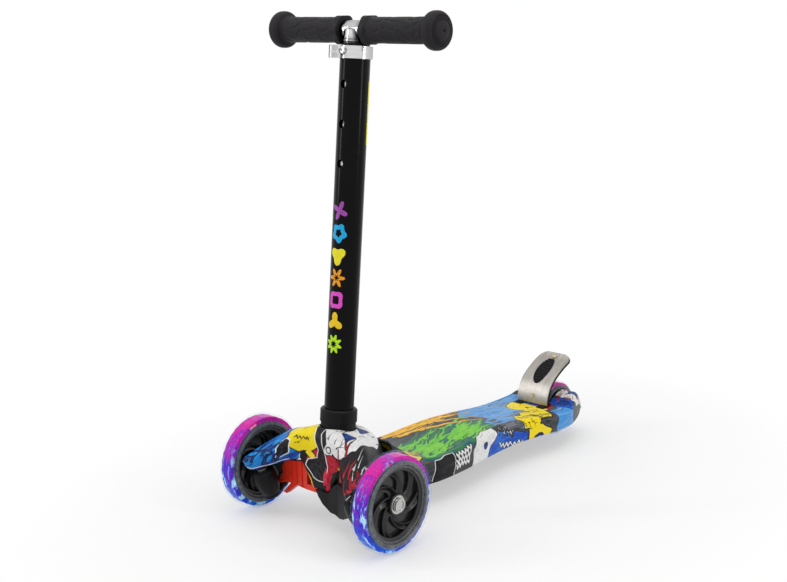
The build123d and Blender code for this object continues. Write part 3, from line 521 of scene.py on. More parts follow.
@dataclass(frozen=True)
class Metal(Finish):
    """A metal with fine machining or brushing lines and cloudy roughness.

    The lines are noise drawn out by a scale along each axis. Painted shade darkens the colour within a set
    reach, in metres, of what covers the metal; edge is how far it is painted darker seen edge-on, as painted
    reflection.
    """

    colour: Colour
    rough: float = 0.22
    lines: tuple[float, float, float] = (400.0, 400.0, 400.0)
    turn: tuple[float, float, float] = (0.0, 0.0, 0.0)
    depth: float = 0.00002
    contrast: float = 0.15
    # reach of the painted shade from what covers the metal, in metres; 0 paints none
    hidden: float = 0.0
    # how strongly the colour is painted darker seen edge-on, a painted reflection of dark surroundings
    edge: float = 0.0

    def lay(self, s: Shader) -> None:
        """Lays the nodes; painted shade darkens the colour where the metal is covered and where it is seen
        edge-on.

        Args:
            s: the material's shader.
        """
        brush = s.noise(1.0, 5, 0.7, coords=s.mapping(scale=self.lines, turn=self.turn))
        cloud = s.noise(60, 4, 0.6)
        dark, pale = lift(self.colour, 1 - self.contrast), lift(self.colour, 1 + self.contrast)
        colour = s.blend(s.spread(brush), dark, pale)
        # painted shade: ambient occlusion paints the colour near-black where other parts cover the metal
        if self.hidden:
            near = s.node("ShaderNodeAmbientOcclusion", {"Distance": self.hidden}, samples=8).outputs["AO"]
            colour = s.blend(s.ramp(near, 0.8, 1.0), (0.01, 0.01, 0.011), colour)
        # painted reflection: the colour is darkened towards grazing angles, as if dark surroundings were
        # mirrored there
        if self.edge:
            facing = s.node("ShaderNodeLayerWeight", {"Blend": 0.5}).outputs["Facing"]
            share = s.math("MULTIPLY", s.math("POWER", facing, 1.6), self.edge)
            colour = s.blend(share, colour, lift(self.colour, 0.12))
        s.set(Base_Color=colour, Metallic=1.0)
        rough = s.math("ADD", s.spread(brush, self.rough * 0.8, self.rough * 1.2),
                       s.ramp(cloud, 0.45, 0.75, 0, 0.08))
        s.set(Roughness=rough, Normal=s.bump(brush, self.depth))


@dataclass(frozen=True)
class TieDye(Finish):
    """The coloured light ring: magenta over violet over blue, with pale cyan flecks, all swirled.

    Lengths are in metres; half is half the tyre's width, and the ring is smoky inside shade_inside.
    """

    centre: tuple[float, float, float]
    radius: float
    half: float
    shade_inside: float

    def lay(self, s: Shader) -> None:
        """Lays the nodes; height over the axle picks the colour, and twisted noise swirls it.

        Args:
            s: the material's shader.
        """
        x, z, away = s.about_axle(self.centre)
        swirl = s.noise(75, 3, 0.55, 1.2)
        patch = s.noise(32, 2, 0.5, 0.6, coords=s.mapping(move=(0.3, 0.1, 0.7)))
        height = s.math("DIVIDE", z, 2.2 * self.radius)
        spot = s.math("ADD", s.math("ADD", height, 0.5), s.spread(swirl, -0.16, 0.16))
        spot = s.math("ADD", spot, s.spread(patch, -0.14, 0.14))
        colour = s.bands(spot, [(0.0, (0.0, 0.15, 0.72)), (0.18, (0.0, 0.045, 0.62)),
                                (0.38, (0.05, 0.008, 0.56)), (0.55, (0.13, 0.002, 0.50)),
                                (0.74, (0.36, 0.0, 0.42)), (0.92, (0.66, 0.0, 0.30))])
        streak = s.noise(1, 3, 0.6, 0.4, coords=s.mapping(scale=(260, 60, 60), move=(3, 1, 2)))
        rim = s.ramp(s.math("ABSOLUTE", x), 0.3 * self.half, self.half)
        fleck = s.ramp(s.math("ADD", streak, s.math("MULTIPLY", rim, 0.16)), 0.58, 0.68)
        pale = s.math("MULTIPLY", fleck, s.ramp(spot, 0.78, 0.45))
        colour = s.blend(s.math("MULTIPLY", pale, 0.9), colour, (0.50, 0.84, 0.98))
        inside = s.ramp(away, self.shade_inside, self.shade_inside - 0.0012)
        speck = s.ramp(s.noise(900, 2), 0.4, 0.7)
        smoky = s.blend(speck, (0.07, 0.07, 0.07), (0.16, 0.16, 0.16))
        colour = s.blend(inside, colour, smoky)
        s.set(Base_Color=colour, Roughness=s.spread(swirl, 0.22, 0.4), Specular_IOR_Level=0.1)
        s.set(Emission_Color=colour, Emission_Strength=0.2, Normal=s.bump(swirl, 0.0004))


@dataclass(frozen=True)
class ClearCast(Finish):
    """Clear cast polyurethane: see-through face on, milky at its rims, smoky inside a radius."""

    centre: tuple[float, float, float]
    smoky_inside: float

    def lay(self, s: Shader) -> None:
        """Lays the nodes; opacity rises with the facing angle and inside the smoky radius.

        Args:
            s: the material's shader.
        """
        _, _, away = s.about_axle(self.centre)
        smoke = s.ramp(away, self.smoky_inside + 0.0006, self.smoky_inside - 0.0006)
        facing = s.node("ShaderNodeLayerWeight", {"Blend": 0.35}).outputs["Facing"]
        ripple = s.noise(170, 3, 0.5)
        clear = s.ramp(s.math("POWER", facing, 3.0), 0, 1, 0.02, 0.40)
        smoke_tint = s.blend(s.ramp(ripple, 0.35, 0.7), (0.10, 0.105, 0.115), (0.20, 0.205, 0.22))
        s.set(Base_Color=s.blend(smoke, (0.30, 0.62, 0.95), smoke_tint))
        s.set(Alpha=s.math("MAXIMUM", clear, s.math("MULTIPLY", smoke, 0.9)))
        s.set(Roughness=s.spread(ripple, 0.08, 0.2), Specular_IOR_Level=0.22)
        s.set(Normal=s.bump(ripple, 0.0002))


@dataclass(frozen=True)
class HubCast(Finish):
    """The hub's black plastic, with the smoky, speckled band of its rim outside a radius."""

    centre: tuple[float, float, float]
    smoky_outside: float

    def lay(self, s: Shader) -> None:
        """Lays the nodes; the distance from the axle splits black from smoky grey.

        Args:
            s: the material's shader.
        """
        _, _, away = s.about_axle(self.centre)
        smoke = s.ramp(away, self.smoky_outside - 0.0004, self.smoky_outside + 0.0004)
        cloud = s.noise(60, 4, 0.6)
        speck = s.ramp(s.noise(700, 2), 0.62, 0.72, 0, 0.5)
        black = s.blend(s.spread(cloud), (0.006, 0.006, 0.007), (0.012, 0.012, 0.014))
        grey = s.blend(speck, s.blend(cloud, (0.055, 0.058, 0.064), (0.13, 0.133, 0.14)), (0.46, 0.47, 0.48))
        s.set(Base_Color=s.blend(smoke, black, grey), Roughness=s.spread(cloud, 0.18, 0.28))
        s.set(Specular_IOR_Level=0.42, Normal=s.bump(s.noise(1500, 2), 0.00003))


@dataclass(frozen=True)
class Lamp(Finish):
    """The white lamp window: milky, with a fine ribbed lens."""

    def lay(self, s: Shader) -> None:
        """Lays the nodes.

        Args:
            s: the material's shader.
        """
        ribs = s.node("ShaderNodeTexWave", {"Vector": s.coords, "Scale": 260.0, "Distortion": 0.3},
                      bands_direction="X").outputs["Fac"]
        s.set(Base_Color=s.blend(ribs, (0.80, 0.82, 0.80), (0.95, 0.95, 0.92)), Roughness=0.25)
        s.set(Emission_Color=(1.0, 0.99, 0.95), Emission_Strength=0.25, Normal=s.bump(ribs, 0.0002))


@dataclass(frozen=True)
class Enamel(Finish):
    """Gloss black enamel on the column tube, with soft orange peel and fine dust."""

    def lay(self, s: Shader) -> None:
        """Lays the nodes.

        Args:
            s: the material's shader.
        """
        peel = s.noise(420, 2, 0.5)
        dust = s.ramp(s.noise(1800, 3, 0.7), 0.62, 0.8)
        dusty = s.blend(s.math("MULTIPLY", dust, 0.3), (0.001, 0.001, 0.0012), (0.010, 0.010, 0.011))
        s.set(Base_Color=dusty, Roughness=s.spread(s.noise(35, 4, 0.6), 0.13, 0.19))
        s.set(Specular_IOR_Level=0.1, Normal=s.bump(peel, 0.00003))


@dataclass(frozen=True)
class Film(Finish):
    """A printed film: one ink with fine mottle under a thin lacquer, and a scuffed gloss."""

    colour: Colour

    def lay(self, s: Shader) -> None:
        """Lays the nodes.

        Args:
            s: the material's shader.
        """
        mottle = s.noise(240, 4, 0.65)
        s.set(Base_Color=s.blend(s.ramp(mottle, 0.3, 0.75), lift(self.colour, 0.9), lift(self.colour, 1.08)))
        s.set(Roughness=s.spread(mottle, 0.28, 0.42), Specular_IOR_Level=0.25)
        s.set(Normal=s.bump(mottle, 0.00002))


@dataclass(frozen=True)
class Ink:
    """One colour of the printed shell: it fills where its mark is below zero, and may have an outline.

    The outline's width is in millimetres, and the grain scales the streaks between fill and second.
    """

    key: str
    fill: Colour
    second: Colour
    outline: Colour | None = None
    width: float = 1.0
    grain: tuple[float, float, float] = (160.0, 40.0, 160.0)


@dataclass(frozen=True)
class PrintedShell(Finish):
    """The dipped print: inks laid over a ground in order, each with streaks, worn in places.

    The edge is how far an ink's border fades, in millimetres.
    """

    ground: Colour
    inks: tuple[Ink, ...]
    edge: float = 0.25

    def lay(self, s: Shader) -> None:
        """Lays the nodes; every ink reads one distance attribute, in millimetres, of the mesh.

        Args:
            s: the material's shader.
        """
        wash = s.noise(1, 4, 0.6, 0.4, coords=s.mapping(scale=(120, 30, 120)))
        colour = s.blend(s.ramp(wash, 0.35, 0.65), lift(self.ground, 0.6), lift(self.ground, 1.5))
        for number, ink in enumerate(self.inks):
            away = s.mark(ink.key)
            if ink.outline is not None:
                line = s.ramp(away, ink.width + self.edge, ink.width - self.edge)
                colour = s.blend(line, colour, ink.outline)
            streak = s.noise(1, 4, 0.65, 0.6, coords=s.mapping(scale=ink.grain, move=(number, 2 * number, 0)))
            body = s.blend(s.ramp(streak, 0.46, 0.6), ink.fill, ink.second)
            colour = s.blend(s.ramp(away, self.edge, -self.edge), colour, body)
        mottle = s.noise(520, 3, 0.6)
        rub = s.ramp(s.noise(95, 6, 0.75), 0.66, 0.74, 0, 0.12)
        colour = s.blend(rub, colour, s.blend(mottle, (0.10, 0.10, 0.11), (0.32, 0.32, 0.33)))
        s.set(Base_Color=colour, Roughness=s.spread(mottle, 0.34, 0.44))
        s.set(Specular_IOR_Level=0.16, Normal=s.bump(mottle, 0.00004))


# ---------------------------------------------------------------- printed motifs, as distances in millimetres
def stroke(p: Array, start: Sequence[float], end: Sequence[float], wide: float, thin: float) -> Array:
    """Distance to a straight brush stroke.

    Formula: the distance to the nearest point of the segment, less a half width that goes evenly
    from wide at the start to thin at the end.

    Args:
        p: points on the print, shape (..., 2).
        start: where the stroke starts.
        end: where it ends.
        wide: its half width at the start.
        thin: its half width at the end.

    Returns:
        The distance, negative inside, shape (...).
    """
    a = np.asarray(start, float)
    b = np.asarray(end, float) - a
    share = np.clip(((p - a) @ b) / (b @ b), 0, 1)
    return np.linalg.norm(p - a - share[..., None] * b, axis=-1) - (wide + (thin - wide) * share)


def patch(p: Array, corners: Sequence[Sequence[float]]) -> Array:
    """Signed distance to a polygon.

    Formula: the distance to the nearest edge, negative where a ray crosses an odd number of edges.

    Args:
        p: points on the print, shape (..., 2).
        corners: the polygon's corners in order.

    Returns:
        The distance, shape (...).
    """
    c = np.asarray(corners, float)
    nearest = np.full(p.shape[:-1], np.inf)
    inside = np.zeros(p.shape[:-1], bool)
    for a, b in zip(c, np.roll(c, -1, axis=0)):
        edge = b - a
        share = np.clip(((p - a) @ edge) / (edge @ edge), 0, 1)
        nearest = np.minimum(nearest, np.linalg.norm(p - a - share[..., None] * edge, axis=-1))
        crosses = (a[1] > p[..., 1]) != (b[1] > p[..., 1])
        at = a[0] + edge[0] * (p[..., 1] - a[1]) / (edge[1] if edge[1] else 1e-9)
        inside ^= crosses & (p[..., 0] < at)
    return np.where(inside, -nearest, nearest)


def blob(p: Array, corners: Sequence[Sequence[float]], swell: float = 2.0) -> Array:
    """A polygon with corners rounded by a swell: the distance to the polygon less the swell."""
    return patch(p, corners) - swell


def star(p: Array, centre: Sequence[float], outer: float, inner: float, tips: int,
         turn: float = 0.0) -> Array:
    """Distance to a star: a polygon whose corners go in and out in even turns.

    Args:
        p: points on the print.
        centre: the star's middle.
        outer: the radius to its tips.
        inner: the radius between them.
        tips: how many tips it has.
        turn: the first tip's direction, in degrees.

    Returns:
        The distance.
    """
    turns = np.radians(turn) + np.arange(2 * tips) * math.pi / tips
    reach = np.where(np.arange(2 * tips) % 2, inner, outer)
    corners = np.stack([centre[0] + reach * np.cos(turns), centre[1] + reach * np.sin(turns)], 1)
    return patch(p, corners)


def ring(p: Array, centre: Sequence[float], radius: float, half: float) -> Array:
    """Distance to a ring's band."""
    return np.abs(np.linalg.norm(p - np.asarray(centre, float), axis=-1) - radius) - half


def disc(p: Array, centre: Sequence[float], radius: float) -> Array:
    """Distance to a disc."""
    return np.linalg.norm(p - np.asarray(centre, float), axis=-1) - radius


def zigzag(p: Array, start: Sequence[float], end: Sequence[float], teeth: int, swing: float,
           half: float) -> Array:
    """Distance to a zigzag line between two points.

    Args:
        p: points on the print.
        start: where the line starts.
        end: where it ends.
        teeth: how many times it goes out and back.
        swing: how far it goes to each side.
        half: half the line's width.

    Returns:
        The distance.
    """
    a, b = np.asarray(start, float), np.asarray(end, float)
    along = (b - a) / (2 * teeth)
    out = np.array([-along[1], along[0]]) / np.linalg.norm(along) * swing
    knots = [a + i * along + (out if i % 2 else -out) for i in range(2 * teeth + 1)]
    return union([stroke(p, k, m, half, half) for k, m in zip(knots, knots[1:])])


def union(shapes: Sequence[Array]) -> Array:
    """The nearest of several shapes."""
    return np.minimum.reduce(list(shapes))


def brushwork(p: Array, seed: int, box: Sequence[float], count: int, length: tuple[float, float],
              half: float, lean: tuple[float, float]) -> Array:
    """A spray of tapered strokes.

    Args:
        p: points on the print.
        seed: the seed of the draw, so that each run is the same.
        box: lowest and highest place of the strokes' starts, as (u0, u1, v0, v1).
        count: how many strokes.
        length: shortest and longest stroke.
        half: the widest half width.
        lean: lowest and highest direction, in degrees.

    Returns:
        The distance to the nearest stroke.
    """
    draw = np.random.default_rng(seed)
    u = draw.uniform(box[0], box[1], count)
    v = draw.uniform(box[2], box[3], count)
    turn = np.radians(draw.uniform(lean[0], lean[1], count))
    reach = draw.uniform(length[0], length[1], count)
    wide = draw.uniform(0.55, 1.0, count) * half
    ends = np.stack([u + reach * np.cos(turn), v + reach * np.sin(turn)], 1)
    return union([stroke(p, (a, b), end, w, 0.15 * w) for a, b, end, w in zip(u, v, ends, wide)])


def hand_cut(p: Array, amount: float) -> Array:
    """Shifts the print by slow waves, so that no edge is ruler-straight: u gains sin(v), v gains sin(u)."""
    u, v = p[..., 0], p[..., 1]
    return np.stack([u + amount * np.sin(0.31 * v + 0.13 * u), v + amount * np.sin(0.27 * u - 0.11 * v)], -1)


def deck_print(p: Array) -> dict[str, Array]:
    """The deck's print.

    Args:
        p: (place along the deck, developed distance from its middle line) per point.

    Returns:
        Each ink's signed distance, by the ink's key.
    """
    p = hand_cut(p, 0.9)
    return {
        "sky": union([
            patch(p, [(62, -92), (76, -40), (58, -22), (86, 16), (82, 50), (118, 56), (150, 34), (214, 28),
                      (214, -92)]),
            brushwork(p, 3, (52, 150, -34, 46), 34, (22, 60), 3.6, (-14, 10)),
            patch(p, [(186, 40), (226, 38), (232, 96), (178, 96)]),
            patch(p, [(-60, -92), (-20, -96), (-30, -66), (-70, -70)])]),
        "slate": union([brushwork(p, 5, (64, 176, -46, 34), 20, (16, 44), 1.5, (-10, 12)),
                        patch(p, [(66, 44), (100, 36), (124, 44), (112, 54), (70, 52)])]),
        "pine": union([brushwork(p, 8, (-84, 40, -14, 50), 34, (20, 60), 3.8, (-26, 6)),
                       patch(p, [(-112, 8), (-70, -14), (-20, -8), (36, -6), (62, 12), (60, 40), (30, 52),
                                 (-30, 60), (-104, 58)])]),
        "leaf": union([brushwork(p, 9, (-96, 30, -8, 50), 60, (22, 62), 3.1, (-34, -2)),
                       patch(p, [(-84, 22), (-58, 4), (-44, 22), (-30, 8), (-38, 40), (-66, 46)]),
                       patch(p, [(-20, 24), (14, 6), (40, 12), (12, 22), (30, 34), (-8, 42)]),
                       patch(p, [(-52, -66), (20, -64), (44, -80), (10, -96), (-40, -96)])]),
        "orange": union([brushwork(p, 12, (-70, 50, -54, -32), 24, (22, 58), 2.6, (-6, 16)),
                         brushwork(p, 13, (-142, -96, -14, 22), 9, (16, 30), 3.4, (20, 58)),
                         patch(p, [(-60, -58), (-8, -54), (56, -50), (60, -36), (30, -34), (-16, -38),
                                   (-70, -46)]),
                         stroke(p, (-14, -28), (70, 6), 3.4, 1.0), stroke(p, (20, -30), (84, -2), 1.8, 0.6)]),
        "royal": union([patch(p, [(26, 58), (60, 52), (84, 56), (122, 62), (124, 100), (14, 100)]),
                        patch(p, [(206, 22), (222, 18), (232, 40), (226, 60), (210, 50)]),
                        patch(p, [(104, -60), (168, -62), (176, -100), (96, -100)])]),
        "white": union([blob(p, [(-4, 66), (8, 52), (24, 46), (44, 47), (48, 56), (34, 68), (24, 84),
                                 (0, 100), (-8, 98)], 2.5),
                        blob(p, [(-122, -30), (-104, -36), (-88, -52), (-72, -58), (-70, -48),
                                 (-92, -34)], 2),
                        blob(p, [(232, 18), (252, 15), (264, 22), (262, 46), (244, 58), (232, 46)], 3),
                        blob(p, [(228, -20), (252, -17), (264, -24), (262, -48), (244, -58), (226, -50)], 3),
                        zigzag(p, (-44, 64), (-12, 60), 5, 3.2, 1.1),
                        zigzag(p, (-46, 71), (-14, 68), 5, 3.2, 1.1),
                        zigzag(p, (-46, 78), (-16, 76), 5, 3.2, 1.1),
                        zigzag(p, (58, 72), (112, 76), 6, 3, 1.1),
                        brushwork(p, 15, (52, 96, 46, 56), 9, (6, 14), 1.1, (20, 70))]),
        "jet": patch(p, [(-84, 60), (-52, 56), (-48, 64), (-52, 100), (-92, 100)]),
        "yellow": union([blob(p, [(112, 40), (120, 26), (134, 30), (146, 16), (160, 24), (176, 18), (182, 34),
                                  (172, 52), (150, 46), (142, 60), (118, 56)], 1.5),
                         blob(p, [(126, 62), (150, 60), (168, 72), (156, 96), (132, 96)], 1.5),
                         blob(p, [(156, -10), (170, -22), (188, -26), (190, 30), (176, 30), (164, 14)], 2),
                         blob(p, [(-140, -8), (-126, -20), (-112, -12), (-118, 2)], 1.5),
                         blob(p, [(-140, 20), (-126, 10), (-108, 16), (-112, 28), (-130, 32)], 1.0),
                         blob(p, [(-126, 42), (-108, 36), (-96, 44), (-110, 54)], 1.0),
                         blob(p, [(48, -70), (84, -72), (88, -92), (52, -90)], 2)]),
        "crimson": union([brushwork(p, 21, (218, 262, 18, 48), 16, (8, 18), 2.0, (-60, 60)),
                          brushwork(p, 22, (222, 262, -46, -20), 12, (8, 18), 1.8, (-60, 60)),
                          brushwork(p, 23, (-100, -66, -56, -44), 7, (8, 16), 1.6, (0, 50)),
                          brushwork(p, 24, (-140, -100, 28, 60), 8, (8, 18), 1.6, (-20, 40)),
                          patch(p, [(196, 18), (214, 18), (206, 30), (192, 32)])]),
        "navy": union([patch(p, [(238, 34), (250, 26), (258, 38), (246, 50)]),
                       patch(p, [(240, -32), (252, -26), (258, -38), (246, -46)]),
                       patch(p, [(214, 30), (224, 34), (222, 52), (214, 44)]),
                       disc(p, (22, 66), 4.5), ring(p, (144, 80), 8, 1.6)]),
        "lime": union([patch(p, [(262, 12), (290, 12), (290, 56), (270, 56)]),
                       patch(p, [(264, -14), (290, -14), (290, -50), (272, -52)])]),
        "lines": union([brushwork(p, 31, (54, 200, -50, 54), 80, (12, 34), 0.9, (-10, 12)),
                        brushwork(p, 32, (-100, 50, -20, 56), 56, (12, 34), 0.85, (-36, 4)),
                        brushwork(p, 33, (112, 184, 12, 60), 46, (8, 20), 1.0, (10, 80)),
                        brushwork(p, 34, (-70, 60, -56, -28), 26, (14, 36), 0.8, (0, 24)),
                        brushwork(p, 35, (216, 268, -52, 52), 34, (8, 22), 1.1, (-80, 80)),
                        star(p, (150, 38), 7, 2, 5, 12), star(p, (178, 4), 6, 1.8, 4, 30)]),
    }


def nose_print(p: Array) -> dict[str, Array]:
    """The nose's print.

    Args:
        p: (place across, developed height over the dome's front lip) per point.

    Returns:
        Each ink's signed distance, by the ink's key.
    """
    p = hand_cut(p, 0.7)
    return {
        "cyan": patch(p, [(-96, -14), (-96, 84), (-58, 96), (-48, 70), (-44, 40), (-33, 10), (-34, -14)]),
        "royal": brushwork(p, 41, (-94, -46, -4, 66), 40, (14, 34), 2.3, (14, 44)),
        "white": union([blob(p, [(6, 46), (16, 26), (30, 18), (46, 26), (54, 50), (44, 96), (14, 124),
                                 (2, 90)], 2),
                        blob(p, [(10, 16), (20, 10), (26, 20), (16, 30)], 1),
                        brushwork(p, 45, (50, 90, 6, 56), 9, (8, 18), 1.1, (100, 150))]),
        "crimson": union([patch(p, [(-20, 14), (-4, 18), (-2, -2), (-24, -4)]),
                          patch(p, [(12, 12), (30, 14), (36, 2), (20, -10), (14, -34), (8, -40), (10, -8)]),
                          brushwork(p, 44, (36, 92, -2, 40), 20, (8, 24), 2.0, (95, 150))]),
        "orange": union([patch(p, [(-24, -16), (-14, -28), (-8, -46), (-22, -42)]),
                         patch(p, [(30, 2), (42, 8), (38, -6)])]),
        "yellow": union([blob(p, [(-44, 24), (-47, 42), (-42, 62), (-36, 84), (-26, 106), (-2, 116), (1, 66),
                                  (0, 46), (-8, 34), (-4, 22), (-16, 14), (-32, 13)], 3),
                         blob(p, [(-22, 8), (-14, 12), (-8, 6), (-16, 2)], 1)]),
        "jet": union([patch(p, [(-9, 60), (2, 57), (4, 46), (0, 36), (8, 18), (12, -4), (6, -24), (-12, -22),
                                (-24, -8), (-20, 0), (-3, 4), (-1, 16), (-6, 30), (-12, 44)]),
                      blob(p, [(-52, 10), (-46, 12), (-44, 24), (-50, 30), (-54, 22)], 2)]),
        "navy": union([patch(p, [(24, 52), (40, 44), (36, 64)]), patch(p, [(16, 84), (28, 78), (24, 100)]),
                       star(p, (-66, 26), 7, 2.5, 5, 20),
                       brushwork(p, 49, (-92, -56, 2, 30), 12, (8, 18), 1.4, (30, 80))]),
        "sparks": union([star(p, (-30, 44), 6, 1.1, 4, 10), star(p, (-16, 60), 4.5, 0.9, 4, 40),
                         star(p, (-24, 88), 5, 1.0, 4, 25), zigzag(p, (-38, 30), (-16, 26), 4, 1.8, 0.7),
                         brushwork(p, 47, (-42, -6, 20, 110), 26, (6, 14), 0.7, (10, 70)),
                         brushwork(p, 48, (8, 48, 26, 100), 24, (8, 20), 0.9, (30, 120)),
                         brushwork(p, 50, (-92, -50, 0, 60), 22, (8, 20), 0.9, (20, 50)),
                         ring(p, (18, 20), 4.2, 0.9)]),
        "flash": patch(p, [(6, -12), (10, -4), (11, -26), (4, -30)]),
        "chalk": union([stroke(p, (-93, 2), (-44, 2), 0.8, 0.6), stroke(p, (44, 3), (92, 3), 0.8, 0.6)]),
    }


DECK_INKS = (
    Ink("sky", (0.05, 0.30, 0.72), (0.20, 0.42, 0.72), grain=(150, 24, 150)),
    Ink("slate", (0.10, 0.105, 0.12), (0.20, 0.22, 0.26)),
    Ink("pine", PINE, (0.01, 0.11, 0.14)),
    Ink("leaf", LEAF, (0.24, 0.62, 0.05), grain=(190, 60, 190)),
    Ink("orange", ORANGE, (0.92, 0.60, 0.06), INK, 0.8, (190, 60, 190)),
    Ink("royal", ROYAL, (0.02, 0.16, 0.60), INK, 0.8),
    Ink("jet", INK, (0.02, 0.02, 0.02), WHITE, 1.0),
    Ink("yellow", YELLOW, (0.96, 0.76, 0.03), INK, 1.3, (50, 50, 50)),
    Ink("white", WHITE, (0.70, 0.70, 0.70), INK, 1.1, (260, 260, 260)),
    Ink("crimson", CRIMSON, (0.25, 0.01, 0.02)),
    Ink("navy", NAVY, (0.01, 0.06, 0.30), INK, 0.8),
    Ink("lime", (0.02, 0.45, 0.05), (0.04, 0.30, 0.04), INK, 1.0),
    Ink("lines", INK, (0.03, 0.03, 0.03)),
)
NOSE_INKS = (
    Ink("cyan", (0.01, 0.22, 0.66), (0.02, 0.34, 0.80), WHITE, 0.9, (90, 40, 90)),
    Ink("royal", (0.01, 0.04, 0.30), (0.01, 0.10, 0.48)),
    Ink("white", WHITE, (0.72, 0.72, 0.72), INK, 1.2, (260, 260, 260)),
    Ink("crimson", (0.55, 0.01, 0.03), (0.30, 0.0, 0.02), INK, 1.0),
    Ink("orange", (0.92, 0.44, 0.02), YELLOW, INK, 0.8),
    Ink("yellow", YELLOW, (0.97, 0.78, 0.02), INK, 1.2, (40, 40, 40)),
    Ink("jet", INK, (0.025, 0.025, 0.028), WHITE, 1.2),
    Ink("navy", NAVY, (0.01, 0.08, 0.36), INK, 0.9),
    Ink("sparks", INK, (0.03, 0.03, 0.03)),
    Ink("flash", (0.60, 0.01, 0.05), (0.70, 0.05, 0.10)),
    Ink("chalk", WHITE, (0.7, 0.7, 0.7)),
)


# ---------------------------------------------------------------- sub-assemblies
class Side(Enum):
    """The rider's side; the value is the sign of X."""

    LEFT = 1
    RIGHT = -1

    @property
    def word(self) -> str:
        """The side's name as the nodes spell it."""
        return self.name.lower()


